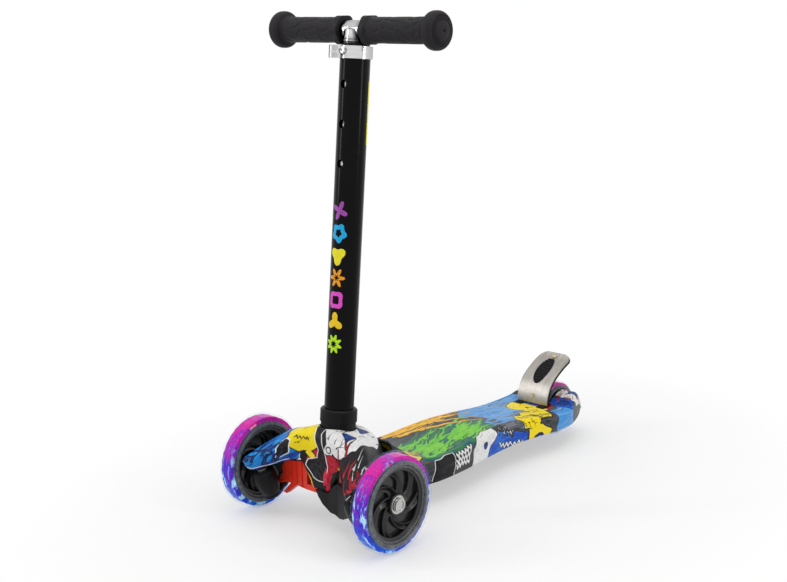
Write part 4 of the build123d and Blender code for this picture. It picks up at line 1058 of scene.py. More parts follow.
@dataclass
class DeckShell:
    """The printed footboard shell with its fork round the rear wheel. Lengths in millimetres.

    The plan gives (place along the deck, half width), and top and low give (place, height). Pocket
    and slot are half widths of the opening for the rear wheel: the pocket runs from pocket_front to
    pocket_back and narrows to the slot at slot_start. The tongue reaches into the pocket.
    """

    plan: Table = ((-146, 40), (-118, 49.5), (-92, 58), (-50, 61), (0, 57), (60, 49.5), (105, 48), (150, 53),
                   (192, 57.5), (222, 53), (248, 43.5), (270, 34), (283, 27))
    top: Table = ((-146, 97), (-128, 82), (-108, 69), (-84, 63), (-40, 62.5), (20, 66.5), (80, 65),
                  (150, 57.5), (195, 55.5), (220, 60), (243, 69), (260, 64), (274, 50), (283, 38))
    low: Table = ((-146, 52), (-110, 37), (-60, 31.5), (20, 31.5), (100, 31), (180, 30.6), (230, 29),
                  (262, 30), (283, 34))
    shoulder: float = 9.0
    crown: float = 0.8
    draft: float = 1.2
    wall: float = 3.0
    slot: float = 17.5
    pocket: float = 27.6
    pocket_front: float = 186.5
    pocket_back: float = 207.0
    slot_start: float = 213.0
    tongue_half: float = 12.0
    tongue_end: float = 194.5
    rows: int = 292
    middle_columns: int = 19
    flat_columns: int = 31
    turn_columns: int = 11
    side_columns: int = 23
    curtain_rows: int = 9

    def outline(self, points: Table, y: Array) -> Array:
        """The value of one outline at places along the deck."""
        table = np.asarray(points, float)
        return natural_cubic(table[:, 0], table[:, 1], y)

    def section(self, y: Array) -> tuple[Array, Array, Array]:
        """Half a cross-section for each place along the deck, from the middle or slot edge to the lower lip.

        Formula: a flat run over the slot's width, a flat run to the shoulder, a quarter arc, and a
        slightly drafted side down to the lip; the flat is crowned by a parabola across. Where the
        shell is low, or the slot leaves little room beside it, the arc's radius shrinks.

        Args:
            y: places along the deck.

        Returns:
            (x, z, developed distance), each of shape (len(y), columns).
        """
        half, high, low = (self.outline(t, y)[:, None] for t in (self.plan, self.top, self.low))
        close = smoothstep(self.pocket_back, self.slot_start, y)[:, None]
        inner = self.pocket + (self.slot - self.pocket) * close
        inner = np.minimum(inner, half - 0.35 * self.shoulder)
        round_off = np.minimum(self.shoulder, np.minimum(0.6 * (high - low), half - inner - 0.4))
        flat = half - round_off
        share = np.linspace(0, 1, self.flat_columns)[None, :]
        middle = inner * np.linspace(0, 1, self.middle_columns + 1)[None, :-1]
        turn = np.radians(np.linspace(90, 0, self.turn_columns + 1))[None, 1:]
        fall = np.linspace(0, 1, self.side_columns + 1)[None, 1:]
        x = np.concatenate([middle, inner + (flat - inner) * share, flat + round_off * np.cos(turn),
                            half - self.draft * fall], 1)
        z = np.concatenate([high + 0 * middle, high + 0 * share, high - round_off * (1 - np.sin(turn)),
                            high - round_off + (low - high + round_off) * fall], 1)
        drop = np.where(x < flat + 0.01, (x / np.maximum(half, 1)) ** 2, smoothstep(-1, 0, x - half))
        z = z - self.crown * drop
        gone = np.hypot(np.diff(x, axis=1), np.diff(z, axis=1))
        return x, z, np.concatenate([np.zeros((len(y), 1)), np.cumsum(gone, 1)], 1)

    def slot_edge(self, run: Array, middle: int) -> tuple[Array, Array]:
        """Where the slot's edge lies in the grid: forward on the rider's right, across, and back.

        Args:
            run: the grid's rows along the slot, from its front end back.
            middle: the grid's middle column.

        Returns:
            The rows and the columns of the edge's points.
        """
        right, left = middle - self.middle_columns, middle + self.middle_columns
        rows = np.concatenate([run[::-1], np.full(left - right - 1, run[0]), run])
        columns = np.concatenate([np.full(len(run), right), np.arange(right + 1, left),
                                  np.full(len(run), left)])
        return rows, columns

    def curtain(self, sheet: Sheet, rim: Array, marks: dict[str, Array]) -> None:
        """Lets a wall down from the slot's edge to just over the shell's lower lip.

        Args:
            sheet: the sheet to add it to.
            rim: the edge's points, shape (n, 3).
            marks: the print's distances along the edge.
        """
        x, y, z = rim.T
        foot = np.minimum(self.outline(self.low, y) + 1.0, z - 1)
        share = np.linspace(0, 1, self.curtain_rows)[:, None]
        pts = np.stack([x + 0 * share, y + 0 * share, z + (foot - z) * share], -1)
        sheet.grid(pts, marks={key: value + 0 * share for key, value in marks.items()})

    def build(self, material: bpy.types.Material) -> bpy.types.Object:
        """Builds both halves as one grid, leaves the slot open, and lets walls down from its edge.

        Args:
            material: the print.

        Returns:
            The shell's piece.
        """
        y = np.linspace(self.plan[0][0], self.plan[-1][0], self.rows)
        y = np.sort(np.append(y, self.pocket_front))
        x, z, developed = self.section(y)
        pts = np.stack([both_sides(x, -1), both_sides(y[:, None] + 0 * x), both_sides(z)], -1)
        marks = deck_print(np.stack([pts[..., 1], both_sides(developed, -1)], -1))
        middle, edge = x.shape[1] - 1, self.middle_columns
        first = int(np.searchsorted(y, self.pocket_front - 0.01))
        keep = np.ones((len(y) - 1, 2 * middle), bool)
        keep[first:, middle - edge:middle + edge] = False
        near_middle = np.abs(pts[:-1, :-1, 0] + pts[:-1, 1:, 0]) < 2 * self.tongue_half
        keep |= near_middle & (y[:-1, None] < self.tongue_end)
        sheet = Sheet()
        sheet.grid(pts, keep=keep, flip=True, marks=marks)
        rim = self.slot_edge(np.arange(first, len(y)), middle)
        self.curtain(sheet, pts[rim], {key: value[rim] for key, value in marks.items()})
        piece = sheet.build("printed_deck_shell", smooth_angle=50)
        thicken(piece, self.wall)
        return place(piece, "deck", ["deck_shell"], material)


@dataclass
class NoseCover:
    """The printed nose: a dome with two wings, and the beak that hangs from its front lip.

    Each station is a place across and six (y, z) points from the front lip over the dome to the back.
    The beak is beak_root wide to each side at the lip and beak_tip at its foot, at height beak_low.
    The collar's hole is a radius about the column, and is cut only higher than collar_above.
    """

    stations: tuple[tuple[float, Table], ...] = (
        (0, ((-229.5, 84), (-231.5, 99), (-223, 123), (-176, 120), (-150, 100), (-146, 64))),
        (22, ((-229.5, 84), (-232.5, 98), (-227, 120), (-177, 115), (-151, 96), (-147, 64))),
        (38, ((-233.5, 81), (-237.5, 94), (-230, 115), (-182, 107.5), (-160, 87), (-157, 64))),
        (54, ((-245, 75.5), (-250.5, 87), (-228, 110.5), (-194, 101), (-179, 83), (-176, 67))),
        (70, ((-257, 69), (-263, 81), (-233, 102), (-212, 95), (-200, 83), (-198, 73))),
        (84, ((-270, 67), (-272.5, 77), (-248, 91), (-236, 87), (-232, 81), (-231, 76))),
        (91.5, ((-271, 73.5), (-272.5, 77), (-262, 82), (-256, 81), (-253, 78), (-252, 75.5))))
    wall: float = 2.6
    beak_low: float = 49.0
    beak_tip: float = 13.0
    beak_root: float = 33.0
    beak_bulge: float = 1.6
    beak_rake: float = 1.5
    beak_rows: int = 30
    collar_hole: float = 23.2
    collar_above: float = 100.0
    columns: int = 184
    rows: int = 110

    def dome(self, x: Array) -> Array:
        """The dome's grid: six profile points run smoothly across, then a curve runs through them.

        Args:
            x: places across the nose.

        Returns:
            Points of shape (rows, len(x), 3); the first row is the front lip.
        """
        table = np.asarray([[list(p) for p in points] for _, points in self.stations], float)
        reach = np.asarray([s for s, _ in self.stations], float)
        both = np.concatenate([table[:0:-1], table])
        knots = np.concatenate([-reach[:0:-1], reach])
        points = natural_cubic(knots, both, x)
        chord = np.linalg.norm(np.diff(points, axis=1), axis=-1).mean(0)
        run = np.concatenate([[0.0], np.cumsum(chord)])
        curve = natural_cubic(run, points.transpose(1, 0, 2), np.linspace(0, run[-1], self.rows))
        return np.concatenate([np.broadcast_to(x[None, :, None], curve.shape[:2] + (1,)), curve], -1)

    def beak(self, lip: Array) -> Array:
        """The beak's grid, from the dome's front lip down to its tip.

        Formula: the foot of each column lies on a trapezium, and the face bulges by a part of a sine.

        Args:
            lip: the dome's front lip between the beak's roots, shape (n, 3).

        Returns:
            Points of shape (beak_rows, n, 3).
        """
        x = lip[:, 0]
        drop = np.clip((self.beak_root - np.abs(x)) / (self.beak_root - self.beak_tip), 0, 1)
        share = np.linspace(1, 0, self.beak_rows)[:, None]
        low = lip[:, 2] - drop * (lip[:, 2] - self.beak_low)
        z = lip[:, 2] + (low - lip[:, 2]) * share
        y = lip[:, 1] + drop * (self.beak_rake * share - self.beak_bulge * np.sin(math.pi * 0.6 * share))
        return np.stack([x + 0 * share, y, z], -1)

    def build(self, material: bpy.types.Material) -> bpy.types.Object:
        """Builds dome and beak in one sheet, with a hole under the foot collar, and gives it a wall.

        Args:
            material: the print.

        Returns:
            The nose's piece.
        """
        reach = self.stations[-1][0]
        x = np.linspace(-reach, reach, self.columns)
        x = np.sort(np.append(x, [-self.beak_root, -self.beak_tip, self.beak_tip, self.beak_root]))
        dome = self.dome(x)
        inner = np.abs(x) <= self.beak_root
        beak = self.beak(dome[0][inner])
        gone = np.linalg.norm(np.diff(dome, axis=0), axis=-1)
        height = np.concatenate([np.zeros((1, len(x))), np.cumsum(gone, 0)])
        sheet = Sheet()
        column = Column.from_frame()
        away = column.distance(dome)
        centre = 0.25 * (away[:-1, :-1] + away[1:, :-1] + away[:-1, 1:] + away[1:, 1:])
        keep = (centre > self.collar_hole) | (dome[:-1, :-1, 2] < self.collar_above)
        sheet.grid(dome, keep=keep, flip=True, marks=nose_print(np.stack([dome[..., 0], height], -1)))
        hang = beak[..., 2] - beak[-1, :, 2]
        sheet.grid(beak, flip=True, marks=nose_print(np.stack([beak[..., 0], hang], -1)))
        piece = sheet.build("printed_nose_cover", smooth_angle=60)
        thicken(piece, self.wall)
        return place(piece, "deck", ["nose_cover"], material)


@dataclass(frozen=True)
class Motif:
    """One film motif on the tube: its ink, its hole and its outline's lobes.

    The hole and the lobes' depth are shares of the reach; turn shifts the lobes round, in radians.
    """

    ink: Colour
    hole: float
    lobes: int
    depth: float
    turn: float

    def reach(self, angle: Array) -> Array:
        """The outline's reach at each angle: 1 less the depth, plus the depth times a cosine per lobe."""
        return (1 - self.depth) + self.depth * np.cos(self.lobes * (angle + self.turn))


TUBE_MOTIFS = (
    Motif((0.36, 0.07, 0.42), 0.0, 4, 0.34, 0.4),
    Motif((0.01, 0.42, 0.80), 0.42, 5, 0.12, 0.2),
    Motif((0.90, 0.80, 0.02), 0.0, 3, 0.20, 1.57),
    Motif((0.92, 0.36, 0.01), 0.36, 6, 0.30, 0.0),
    Motif((0.80, 0.08, 0.60), 0.5, 4, 0.10, 0.785),
    Motif((0.93, 0.60, 0.01), 0.0, 3, 0.30, -1.57),
    Motif((0.50, 0.85, 0.01), 0.4, 8, 0.22, 0.3),
)


@dataclass
class Column:
    """The column's axis, its front film motifs and the clamp's screw head. Lengths in millimetres.

    The lowest motif lies mark_first above the foot, and each reaches mark_half from its middle.
    The head's profile gives (distance from the column's axis, radius), from its inner face round to
    the floor of its socket; the inner face leaves the snap button room to come out.
    """

    foot: Array
    axis: Array
    tube_radius: float
    mark_first: float = 76.0
    mark_step: float = 26.5
    mark_half: float = 12.0
    mark_shift: float = 3.0
    mark_narrow: float = 0.9
    mark_segments: int = 72
    film_proud: float = 0.14
    film_thick: float = 0.12
    head_station: float = 420.0
    head: Table = ((19.4, 0), (19.4, 4.5), (21.6, 4.5), (22.4, 4.2), (22.8, 3.4), (23.0, 2.5), (22.9, 2.1),
                   (21.7, 1.9), (21.7, 0))

    @classmethod
    def from_frame(cls) -> "Column":
        """Reads the axis from the height joint, and the foot and radius from the tube.

        Formula: the tube's box is centred on its axis, half its length above the tube's lower end.

        Returns:
            The column.
        """
        axis = np.asarray(joint("bar_height")["axis"], float)
        low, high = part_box("outer_tube")
        centre = np.asarray((low + high) / 2, float) / MM
        return cls(centre - TUBE_HALF * axis, axis, (high.x - low.x) / 2 / MM)

    def distance(self, pts: Array) -> Array:
        """How far points lie from the axis.

        Args:
            pts: the points, shape (..., 3).

        Returns:
            The distances, shape (...).
        """
        away = pts - self.foot
        along = away @ self.axis
        return np.linalg.norm(away - along[..., None] * self.axis, axis=-1)

    def wrap(self, u: Array, station: Array, proud: float) -> Array:
        """Puts flat film on the tube.

        Formula: the angle is u over the radius, counted from the tube's front.

        Args:
            u: places round the tube, towards the rider's left.
            station: places up the axis from the foot.
            proud: how far the film stands off the tube.

        Returns:
            The points, with u's shape and a last axis of 3.
        """
        turn = (u / self.tube_radius)[..., None]
        out = np.sin(turn) * np.asarray(X_AXIS) + np.cos(turn) * self.front
        return self.foot + (self.tube_radius + proud) * out + station[..., None] * self.axis

    @property
    def front(self) -> Array:
        """The unit direction from the axis, which points up, to the tube's front."""
        return np.cross(X_AXIS, self.axis)

    def clamp_head(self, material: bpy.types.Material) -> bpy.types.Object:
        """The round screw head with its socket in the clamp's front window.

        Args:
            material: its finish.

        Returns:
            The head's piece.
        """
        middle = self.foot + self.head_station * self.axis
        grid = lathe(np.asarray(self.head, float), 48, middle, axis=self.front, across=X_AXIS)
        piece = Sheet.closed(grid).build("clamp_screw_head", 40, outward=True)
        return place(piece, "deck", [], material)

    def marks(self) -> None:
        """Builds the coloured film motifs down the tube's front, each a ring or a filled shape."""
        turn = np.linspace(0, 2 * math.pi, self.mark_segments, endpoint=False)
        for number, motif in enumerate(TUBE_MOTIFS):
            middle = self.mark_first + (len(TUBE_MOTIFS) - 1 - number) * self.mark_step
            reach = np.linspace(motif.hole, 1, 10)[:, None] * motif.reach(turn) * self.mark_half
            across = self.mark_shift + self.mark_narrow * reach * np.cos(turn)
            grid = self.wrap(across, middle + reach * np.sin(turn), self.film_proud)
            piece = Sheet.closed(grid).build(f"tube_film_mark_{number + 1}")
            solid = piece.modifiers.new("film", "SOLIDIFY")
            solid.thickness = self.film_thick * MM
            solid.offset = 0
            place(piece, "deck", [], Film(f"film_{number + 1}", motif.ink).make())


@dataclass
class KnuckleFairing:
    """The rounded fairing round a front knuckle's barrel; swell gives (place up the kingpin, radius)."""

    side: Side
    centre: tuple[float, float, float]
    axis: tuple[float, float, float]
    barrel: float = 11.02
    swell: Table = ((-25, 11.4), (-23, 12.4), (-18, 13.9), (-10, 15.6), (-2, 16.3), (5, 15.6), (8.6, 14.2),
                    (9.6, 13.0), (9.8, 11.4))
    steps: int = 40

    @classmethod
    def from_frame(cls, side: Side) -> "KnuckleFairing":
        """Reads the kingpin's axis from the steering joint."""
        steer = joint(f"steer_{side.word}")
        return cls(side, tuple(v / MM for v in steer["pos_m"]), tuple(steer["axis"]))

    def build(self, material: bpy.types.Material) -> bpy.types.Object:
        """Turns a closed profile about the kingpin.

        Formula: the outer profile is a natural cubic spline through the swell's points.

        Args:
            material: its finish.

        Returns:
            The fairing's piece.
        """
        swell = np.asarray(self.swell, float)
        knots = np.arange(float(len(swell)))
        outer = natural_cubic(knots, swell, np.linspace(0, knots[-1], self.steps))
        inner = np.array([[outer[-1, 0], self.barrel], [outer[0, 0], self.barrel], outer[0]])
        grid = lathe(np.concatenate([outer, inner]), 96, self.centre, axis=self.axis, across=X_AXIS)
        piece = Sheet.closed(grid).build(f"knuckle_fairing_{self.side.word}", 50, outward=True)
        return place(piece, f"{self.side.word}_knuckle", [], material)


@dataclass
class Wheel:
    """One light-up wheel: clear tyre, swirled light ring and a hub with seven ribbed spokes.

    Lengths in millimetres. The tread is the tyre's height over the hub, the rim is the hub's band
    under it, and half is half the hub's width. Skin and cheek are the tyre's walls over and beside
    the light ring. Boss and seat are radii, the web is a share of half, and the sweep is the degrees
    that a spoke turns per millimetre.
    """

    prefix: str
    body: str
    side: Side
    radius: float
    width: float
    tread: float
    rim: float
    half: float
    centre: tuple[float, float, float]
    spokes: int = 7
    skin: float = 2.6
    cheek: float = 3.2
    sweep: float = 1.65
    boss: float = 13.0
    seat: float = 11.0
    web: float = 0.12
    bearing_deep: float = 7.0
    fit: float = 0.12
    facets: int = 16
    facet_deep: float = 0.007
    smoke_share: float = 0.855
    segments: int = 160

    @classmethod
    def from_frame(cls, prefix: str, body: str, side: Side, tread: float, rim: float) -> "Wheel":
        """Reads a wheel's centre, radius and width from its tyre, and its hub's width from its hub.

        Args:
            prefix: what the wheel's node names start with.
            body: the body that carries it.
            side: the side that its spokes face.
            tread: the tyre's height over the hub.
            rim: the hub's band under the tyre.

        Returns:
            The wheel.
        """
        low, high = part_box(f"{prefix}_tyre")
        hub_low, hub_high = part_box(f"{prefix}_hub")
        centre = tuple(round(v / MM, 2) for v in (low + high) / 2)
        radius = math.floor((high.z - low.z) / 2 / MM * 100) / 100
        width, half = (high.x - low.x) / MM, (hub_high.x - hub_low.x) / 2 / MM
        return cls(prefix, body, side, radius, width, tread, rim, half, centre)

    @property
    def core(self) -> float:
        """The radius between hub and light ring."""
        return self.radius - self.tread

    @property
    def scale(self) -> float:
        """The wheel's size against the front wheel's 60 mm radius."""
        return self.radius / 60

    def tyre(self) -> Sheet:
        """The tyre: rounded shoulders, a bead on each cheek, and the ring's pocket inside.

        Returns:
            The tyre's sheet.
        """
        half, outer, core = self.width / 2, self.radius, self.core
        round_off = 0.25 * self.width
        right = arc((half - round_off, outer - round_off), round_off, 0, 80, 14)
        crown = np.array([[0.30 * half, outer - 0.06], [0, outer], [-0.30 * half, outer - 0.06]])
        left = arc((round_off - half, outer - round_off), round_off, 100, 180, 14)
        bead = arc((half - 0.5, core + 1.6), 1.0, -50, 50, 6)
        beads = bead * np.array([[-1, 1]])
        pocket_half, pocket_top = half - self.cheek, outer - self.skin
        pocket = np.array([[-pocket_half, core], [-pocket_half, pocket_top], [pocket_half, pocket_top],
                           [pocket_half, core]])
        profile = np.concatenate([[[half - 0.9, core]], bead, right, crown, left, beads[::-1],
                                  [[0.9 - half, core]], pocket, [[half - 0.9, core]]])
        return Sheet.closed(lathe(profile, self.segments, self.centre))

    def light_ring(self) -> Sheet:
        """The light ring: a band with rounded corners and shallow facets that throw the light about.

        Formula: the outer radius falls by a small share of |sin| of a multiple of the angle.

        Returns:
            The ring's sheet.
        """
        inner, outer = self.core, self.radius - self.skin - self.fit
        half, corner = self.width / 2 - self.cheek - self.fit, 0.8
        profile = np.concatenate([[[half, inner]], arc((half - corner, outer - corner), corner, 0, 90, 5),
                                  np.linspace([half - 2, outer], [2 - half, outer], 7),
                                  arc((corner - half, outer - corner), corner, 90, 180, 5), [[-half, inner]],
                                  [[half, inner]]])
        grid = lathe(profile, 2 * self.segments, (0, 0, 0))
        turn = np.linspace(0, 2 * math.pi, 2 * self.segments, endpoint=False)
        dip = 1 - self.facet_deep * np.abs(np.sin(self.facets * turn)) * (profile[:, 1:2] > outer - 1)
        grid[..., 1:] *= dip[..., None]
        return Sheet.closed(grid + np.asarray(self.centre))

    def hub_rim(self, sheet: Sheet) -> None:
        """The hub's rim: a dished lip each side, and a step inside it down to the web.

        Args:
            sheet: the hub's sheet.
        """
        outer, half = self.core - self.fit, self.width / 2 - self.cheek + 1
        inner, step = self.core - self.rim, 4 * self.scale
        profile = np.array([[half, outer], [half + 0.35, outer - 0.5], [half + 0.3, inner + 0.5],
                            [half - 0.3, inner], [half - 1.6, inner - 0.3], [half - 2.0, inner - 0.9],
                            [half - 2.4, inner - step + 0.6], [half - 3.2, inner - step]])
        profile = np.concatenate([profile, profile[::-1] * [[-1, 1]], profile[:1]])
        sheet.grid(lathe(profile[::-1], self.segments, self.centre), wrap=True)

    def hub_boss(self, sheet: Sheet) -> None:
        """The hub's boss with its two bearing seats and rounded outer edges, and the thin web round it.

        Args:
            sheet: the hub's sheet.
        """
        bore, seat_floor = self.seat - 2, self.half - self.bearing_deep
        edge = arc((self.half - 1.2, self.boss - 1.2), 1.2, 90, 0, 5)
        right = np.concatenate([[[0, self.boss - 0.8]], [[self.half - 4, self.boss]], edge,
                                [[self.half, self.seat + 0.7], [self.half - 0.6, self.seat + 0.05],
                                 [seat_floor, self.seat + 0.05], [seat_floor, bore]]])
        profile = np.concatenate([right, right[::-1] * [[-1, 1]]])
        sheet.grid(lathe(profile, 96, self.centre), wrap=True)
        web, reach = self.web * self.half, self.core - self.rim - 0.6
        root = self.boss - 1
        plate = np.array([[web, root], [web, reach], [-web, reach], [-web, root], [web, root]])
        sheet.grid(lathe(plate, 96, self.centre), wrap=True)

    def hub_spokes(self, sheet: Sheet) -> None:
        """The swirled spokes: each carries a closed section outwards while it turns.

        Formula: the middle angle grows from 0 at the root to sweep times the spoke's length at the
        rim, as the power 1.25 of the way out; the section is a superellipse, a rounded block, whose
        faces stand up in two bell-shaped ribs with a valley between them.

        Args:
            sheet: the hub's sheet.
        """
        inner, outer = self.boss - 2.0, self.core - self.rim - 1.5 * self.scale
        out = np.linspace(0, 1, 36)
        r = inner + (outer - inner) * out
        turn = np.radians(self.sweep * (outer - inner)) * out**1.25
        wide = self.scale * (5.6 + 6.4 * np.abs(out - 0.45) ** 1.3)
        thick = 0.56 * self.half * (1 - 0.12 * np.sin(math.pi * out))
        around = np.linspace(0, 2 * math.pi, 56, endpoint=False)
        flat_u = np.sign(np.cos(around)) * np.abs(np.cos(around)) ** 0.55
        flat_v = np.sign(np.sin(around)) * np.abs(np.sin(around)) ** 0.45
        crest, valley = np.exp(-((np.abs(flat_u) - 0.72) / 0.2) ** 2), np.exp(-(flat_u / 0.32) ** 2)
        rib = self.scale * (0.9 * crest - 2.2 * valley)
        for number in range(self.spokes):
            base = turn + 2 * math.pi * number / self.spokes
            angle = base[:, None] + wide[:, None] * flat_u / r[:, None]
            height = (thick[:, None] + rib) * flat_v
            y = r[:, None] * np.cos(angle)
            z = r[:, None] * np.sin(angle)
            pts = np.stack([height * self.side.value, y, z], -1) + np.asarray(self.centre)
            sheet.grid(pts, wrap=True, flip=self.side is Side.LEFT)

    def build(self, lamp: bpy.types.Material, bearing: bpy.types.Material) -> None:
        """Builds and dresses the whole wheel.

        Args:
            lamp: the lamp windows' finish.
            bearing: the bearings' finish.
        """
        centre = tuple(v * MM for v in self.centre)
        shade = self.smoke_share * self.radius * MM
        tyre = self.tyre().build(f"{self.prefix}_clear_tyre", 40, outward=True)
        place(tyre, self.body, [f"{self.prefix}_tyre"],
              ClearCast(f"{self.prefix}_clear_cast", centre, shade).make())
        glow = self.light_ring().build(f"{self.prefix}_glow_ring", 40, outward=True)
        place(glow, self.body, [f"{self.prefix}_light_ring"],
              TieDye(f"{self.prefix}_tie_dye", centre, self.radius * MM, self.width / 2 * MM, shade).make())
        sheet = Sheet()
        self.hub_rim(sheet)
        self.hub_boss(sheet)
        self.hub_spokes(sheet)
        hub = sheet.build(f"{self.prefix}_swirl_hub", 40, outward=True)
        band = (self.core - self.rim - 0.1) * MM
        place(hub, self.body, [f"{self.prefix}_hub"],
              HubCast(f"{self.prefix}_hub_cast", centre, band).make())
        dress(f"{self.prefix}_light_pods", lamp)
        dress(f"{self.prefix}_bearings", bearing)


@dataclass
class Grip:
    """A rubber grip: a six-sided flange, a carved sleeve and a ball end with rings.

    Lengths in millimetres. Inner, outer and bore_end are places along the crossbar from its middle;
    sleeve, flange, ball and bore are radii.
    """

    side: Side
    centre: tuple[float, float, float]
    inner: float = 17.0
    outer: float = 133.0
    sleeve: float = 15.0
    flange: float = 17.2
    flange_long: float = 9.0
    ball: float = 22.0
    ball_long: float = 20.0
    ball_round: float = 7.0
    ring_radii: tuple[float, ...] = (17.6, 15.4, 13.2)
    grooves: int = 9
    groove_deep: float = 0.75
    corner: float = 0.8
    bore: float = 11.55
    bore_end: float = 122.3
    around: int = 144

    @classmethod
    def from_frame(cls, side: Side) -> "Grip":
        """Reads the crossbar's axis, the grip's end and its ball from the grip's box.

        Args:
            side: the rider's side that it is on.

        Returns:
            The grip.
        """
        low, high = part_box(f"grip_{side.word}")
        centre = (0.0, (low.y + high.y) / 2 / MM, (low.z + high.z) / 2 / MM)
        ball = (high.z - low.z) / 2 / MM
        return cls(side, centre, outer=max(abs(low.x), abs(high.x)) / MM, ball=ball)

    def profile(self) -> Array:
        """The grip's outer profile from the flange's bore to the middle of the ball's end.

        Returns:
            Rows of (place along the crossbar, radius).
        """
        neck, shoulder = self.outer - self.ball_long, self.inner + self.flange_long
        flange = [[self.inner, self.bore], [self.inner, self.flange - 0.8], [self.inner + 0.8, self.flange],
                  [shoulder - 1.2, self.flange], [shoulder, self.sleeve + 0.6]]
        sleeve = np.linspace([shoulder + 1, self.sleeve], [neck - 4, self.sleeve + 0.3], 150)
        swell = arc((neck + self.ball_round, self.ball - self.ball_round), self.ball_round, 180, 90, 12)
        shelf = self.outer - 6.0
        end = arc((shelf - 3.5, self.ball - self.ball_round), self.ball_round, 90, 38, 10)
        rings = []
        for number, radius in enumerate(self.ring_radii):
            a = shelf + 1.9 + 0.65 * number
            rings += [[a + 0.5, radius + 0.9], [a + 0.9, radius], [a + 0.5, radius - 0.6], [a, radius - 0.9]]
        dome = np.linspace(12.0, 2.0, 9)
        cap = np.stack([self.outer - 2.2 * ((dome - 2) / 10) ** 2, dome], 1)
        tip = [[self.outer - 0.2, 1.7], [self.outer - 1.4, 1.5], [self.outer - 1.4, 0.0]]
        root = arc((neck - 4, self.sleeve + 4.3), 4.0, -90, -10, 6)
        return np.concatenate([flange, sleeve, root, swell, end, rings, cap, tip])

    def build(self, material: bpy.types.Material) -> bpy.types.Object:
        """Builds the grip.

        Formula: the sleeve's radius drops along waving grooves, r = sleeve - deep exp(-(d / w)^2),
        where d is how far the angle lies from the nearest of the waves, each a sum of slow sines along
        the grip; the flange's radius follows the sixth harmonic of the angle.

        Args:
            material: the rubber.

        Returns:
            The grip's piece.
        """
        profile = self.profile()
        grid = lathe(profile, self.around, (0, 0, 0), self.side.value)
        turn = np.linspace(0, 2 * math.pi, self.around, endpoint=False)[None, :]
        a, r = profile[:, :1], profile[:, 1:2]
        neck = self.outer - self.ball_long
        on_sleeve = smoothstep(self.inner + 12, self.inner + 16, a) * (1 - smoothstep(neck - 7, neck - 4, a))
        on_sleeve = on_sleeve * (r > self.sleeve - 1)
        wave = 0.30 * np.sin(a / 8.5) + 0.16 * np.sin(a / 4.1 + 1.3)
        cell = (turn * self.grooves / (2 * math.pi) + wave + 0.35 * np.sin(a / 19)) % 1.0 - 0.5
        ends = np.abs(((a - 40) / 23.0) % 1.0 - 0.5)
        groove = np.exp(-(cell / 0.14) ** 2) * smoothstep(0.03, 0.14, ends) * self.groove_deep
        hexagon = self.corner * np.cos(6 * turn) * (r > self.flange - 1) * (a < self.inner + self.flange_long)
        dent = (hexagon - groove * on_sleeve) / np.maximum(r, 1)
        grid[..., 1:] *= (1 + dent)[..., None]
        bore = np.array([[self.bore_end, 0.0], [self.bore_end, self.bore], [self.inner, self.bore]])
        sheet = Sheet()
        sheet.grid(grid + np.asarray(self.centre), wrap=True)
        sheet.grid(lathe(bore, self.around, self.centre, self.side.value), wrap=True)
        piece = sheet.build(f"carved_grip_{self.side.word}", 40, outward=True)
        return place(piece, "bar", [f"grip_{self.side.word}"], material)


@dataclass
class Hardware:
    """The carried-over CAD pieces and their finishes; the rake is the column's lean, in degrees."""

    rake: float = 5.34

    def dress_all(self) -> None:
        """Gives each carried-over node its finish."""
        turn = (self.rake, 0, 0)
        groups = {
            Moulded("black_polypropylene", (0.008, 0.008, 0.009), 0.42, depth=0.00008): (
                "deck_underframe", "steering_crossbeam", "knuckle_left", "knuckle_right", "brake_backing",
                "collar_bush", "stem_bush"),
            Moulded("collar_plastic", (0.006, 0.006, 0.0065), 0.38): ("foot_collar",),
            Moulded("tie_rod_red", (0.95, 0.045, 0.02), 0.3, 1800, 0.00004, 0.3): ("tie_rod",),
            Moulded("pad_rubber", (0.012, 0.012, 0.013), 0.62, 3200, 0.0001): (
                "brake_pad", "centring_bushes"),
            Metal("zinc_plate", (0.50, 0.51, 0.53), 0.34): (
                "underframe_screws", "chassis_bolts", "column_pin", "kingpins", "kingpin_nuts",
                "thrust_washers", "tie_pins", "brake_pin", "brake_spring", "button_spring"),
            Metal("turned_steel", (0.52, 0.52, 0.52), 0.22, (30, 900, 900), depth=0.00003): (
                "axle_bolt_left", "axle_bolt_right", "rear_axle", "axle_spacers", "clamp_bolts"),
            # the brake plate's colour is painted darker edge-on, a painted reflection
            Metal("brushed_brake_plate", (0.37, 0.35, 0.32), 0.34, (900, 30, 30), depth=0.00004, contrast=0.3,
                  edge=0.5): ("brake_plate",),
            Metal("brass_rivet_heads", (0.60, 0.47, 0.24), 0.32): ("brake_rivets",),
            # the clamp's colour is painted darker edge-on, a painted reflection
            Metal("polished_clamp", (0.66, 0.66, 0.67), 0.16, (60, 60, 700), turn, edge=0.8): ("tube_clamp",),
            # the chromed bar and snap button get painted shade inside the tube and are painted darker edge-on
            Metal("chromed_bar", (0.72, 0.72, 0.73), 0.10, (500, 500, 60), turn, 0.00001, 0.06,
                  hidden=0.012, edge=0.95): ("t_bar", "snap_button"),
            Enamel("column_enamel"): ("outer_tube",),
            Film("height_scale_film", (0.90, 0.80, 0.02)): ("height_strip",),
        }
        for finish, nodes in groups.items():
            material = finish.make()
            for node in nodes:
                dress(node, material)


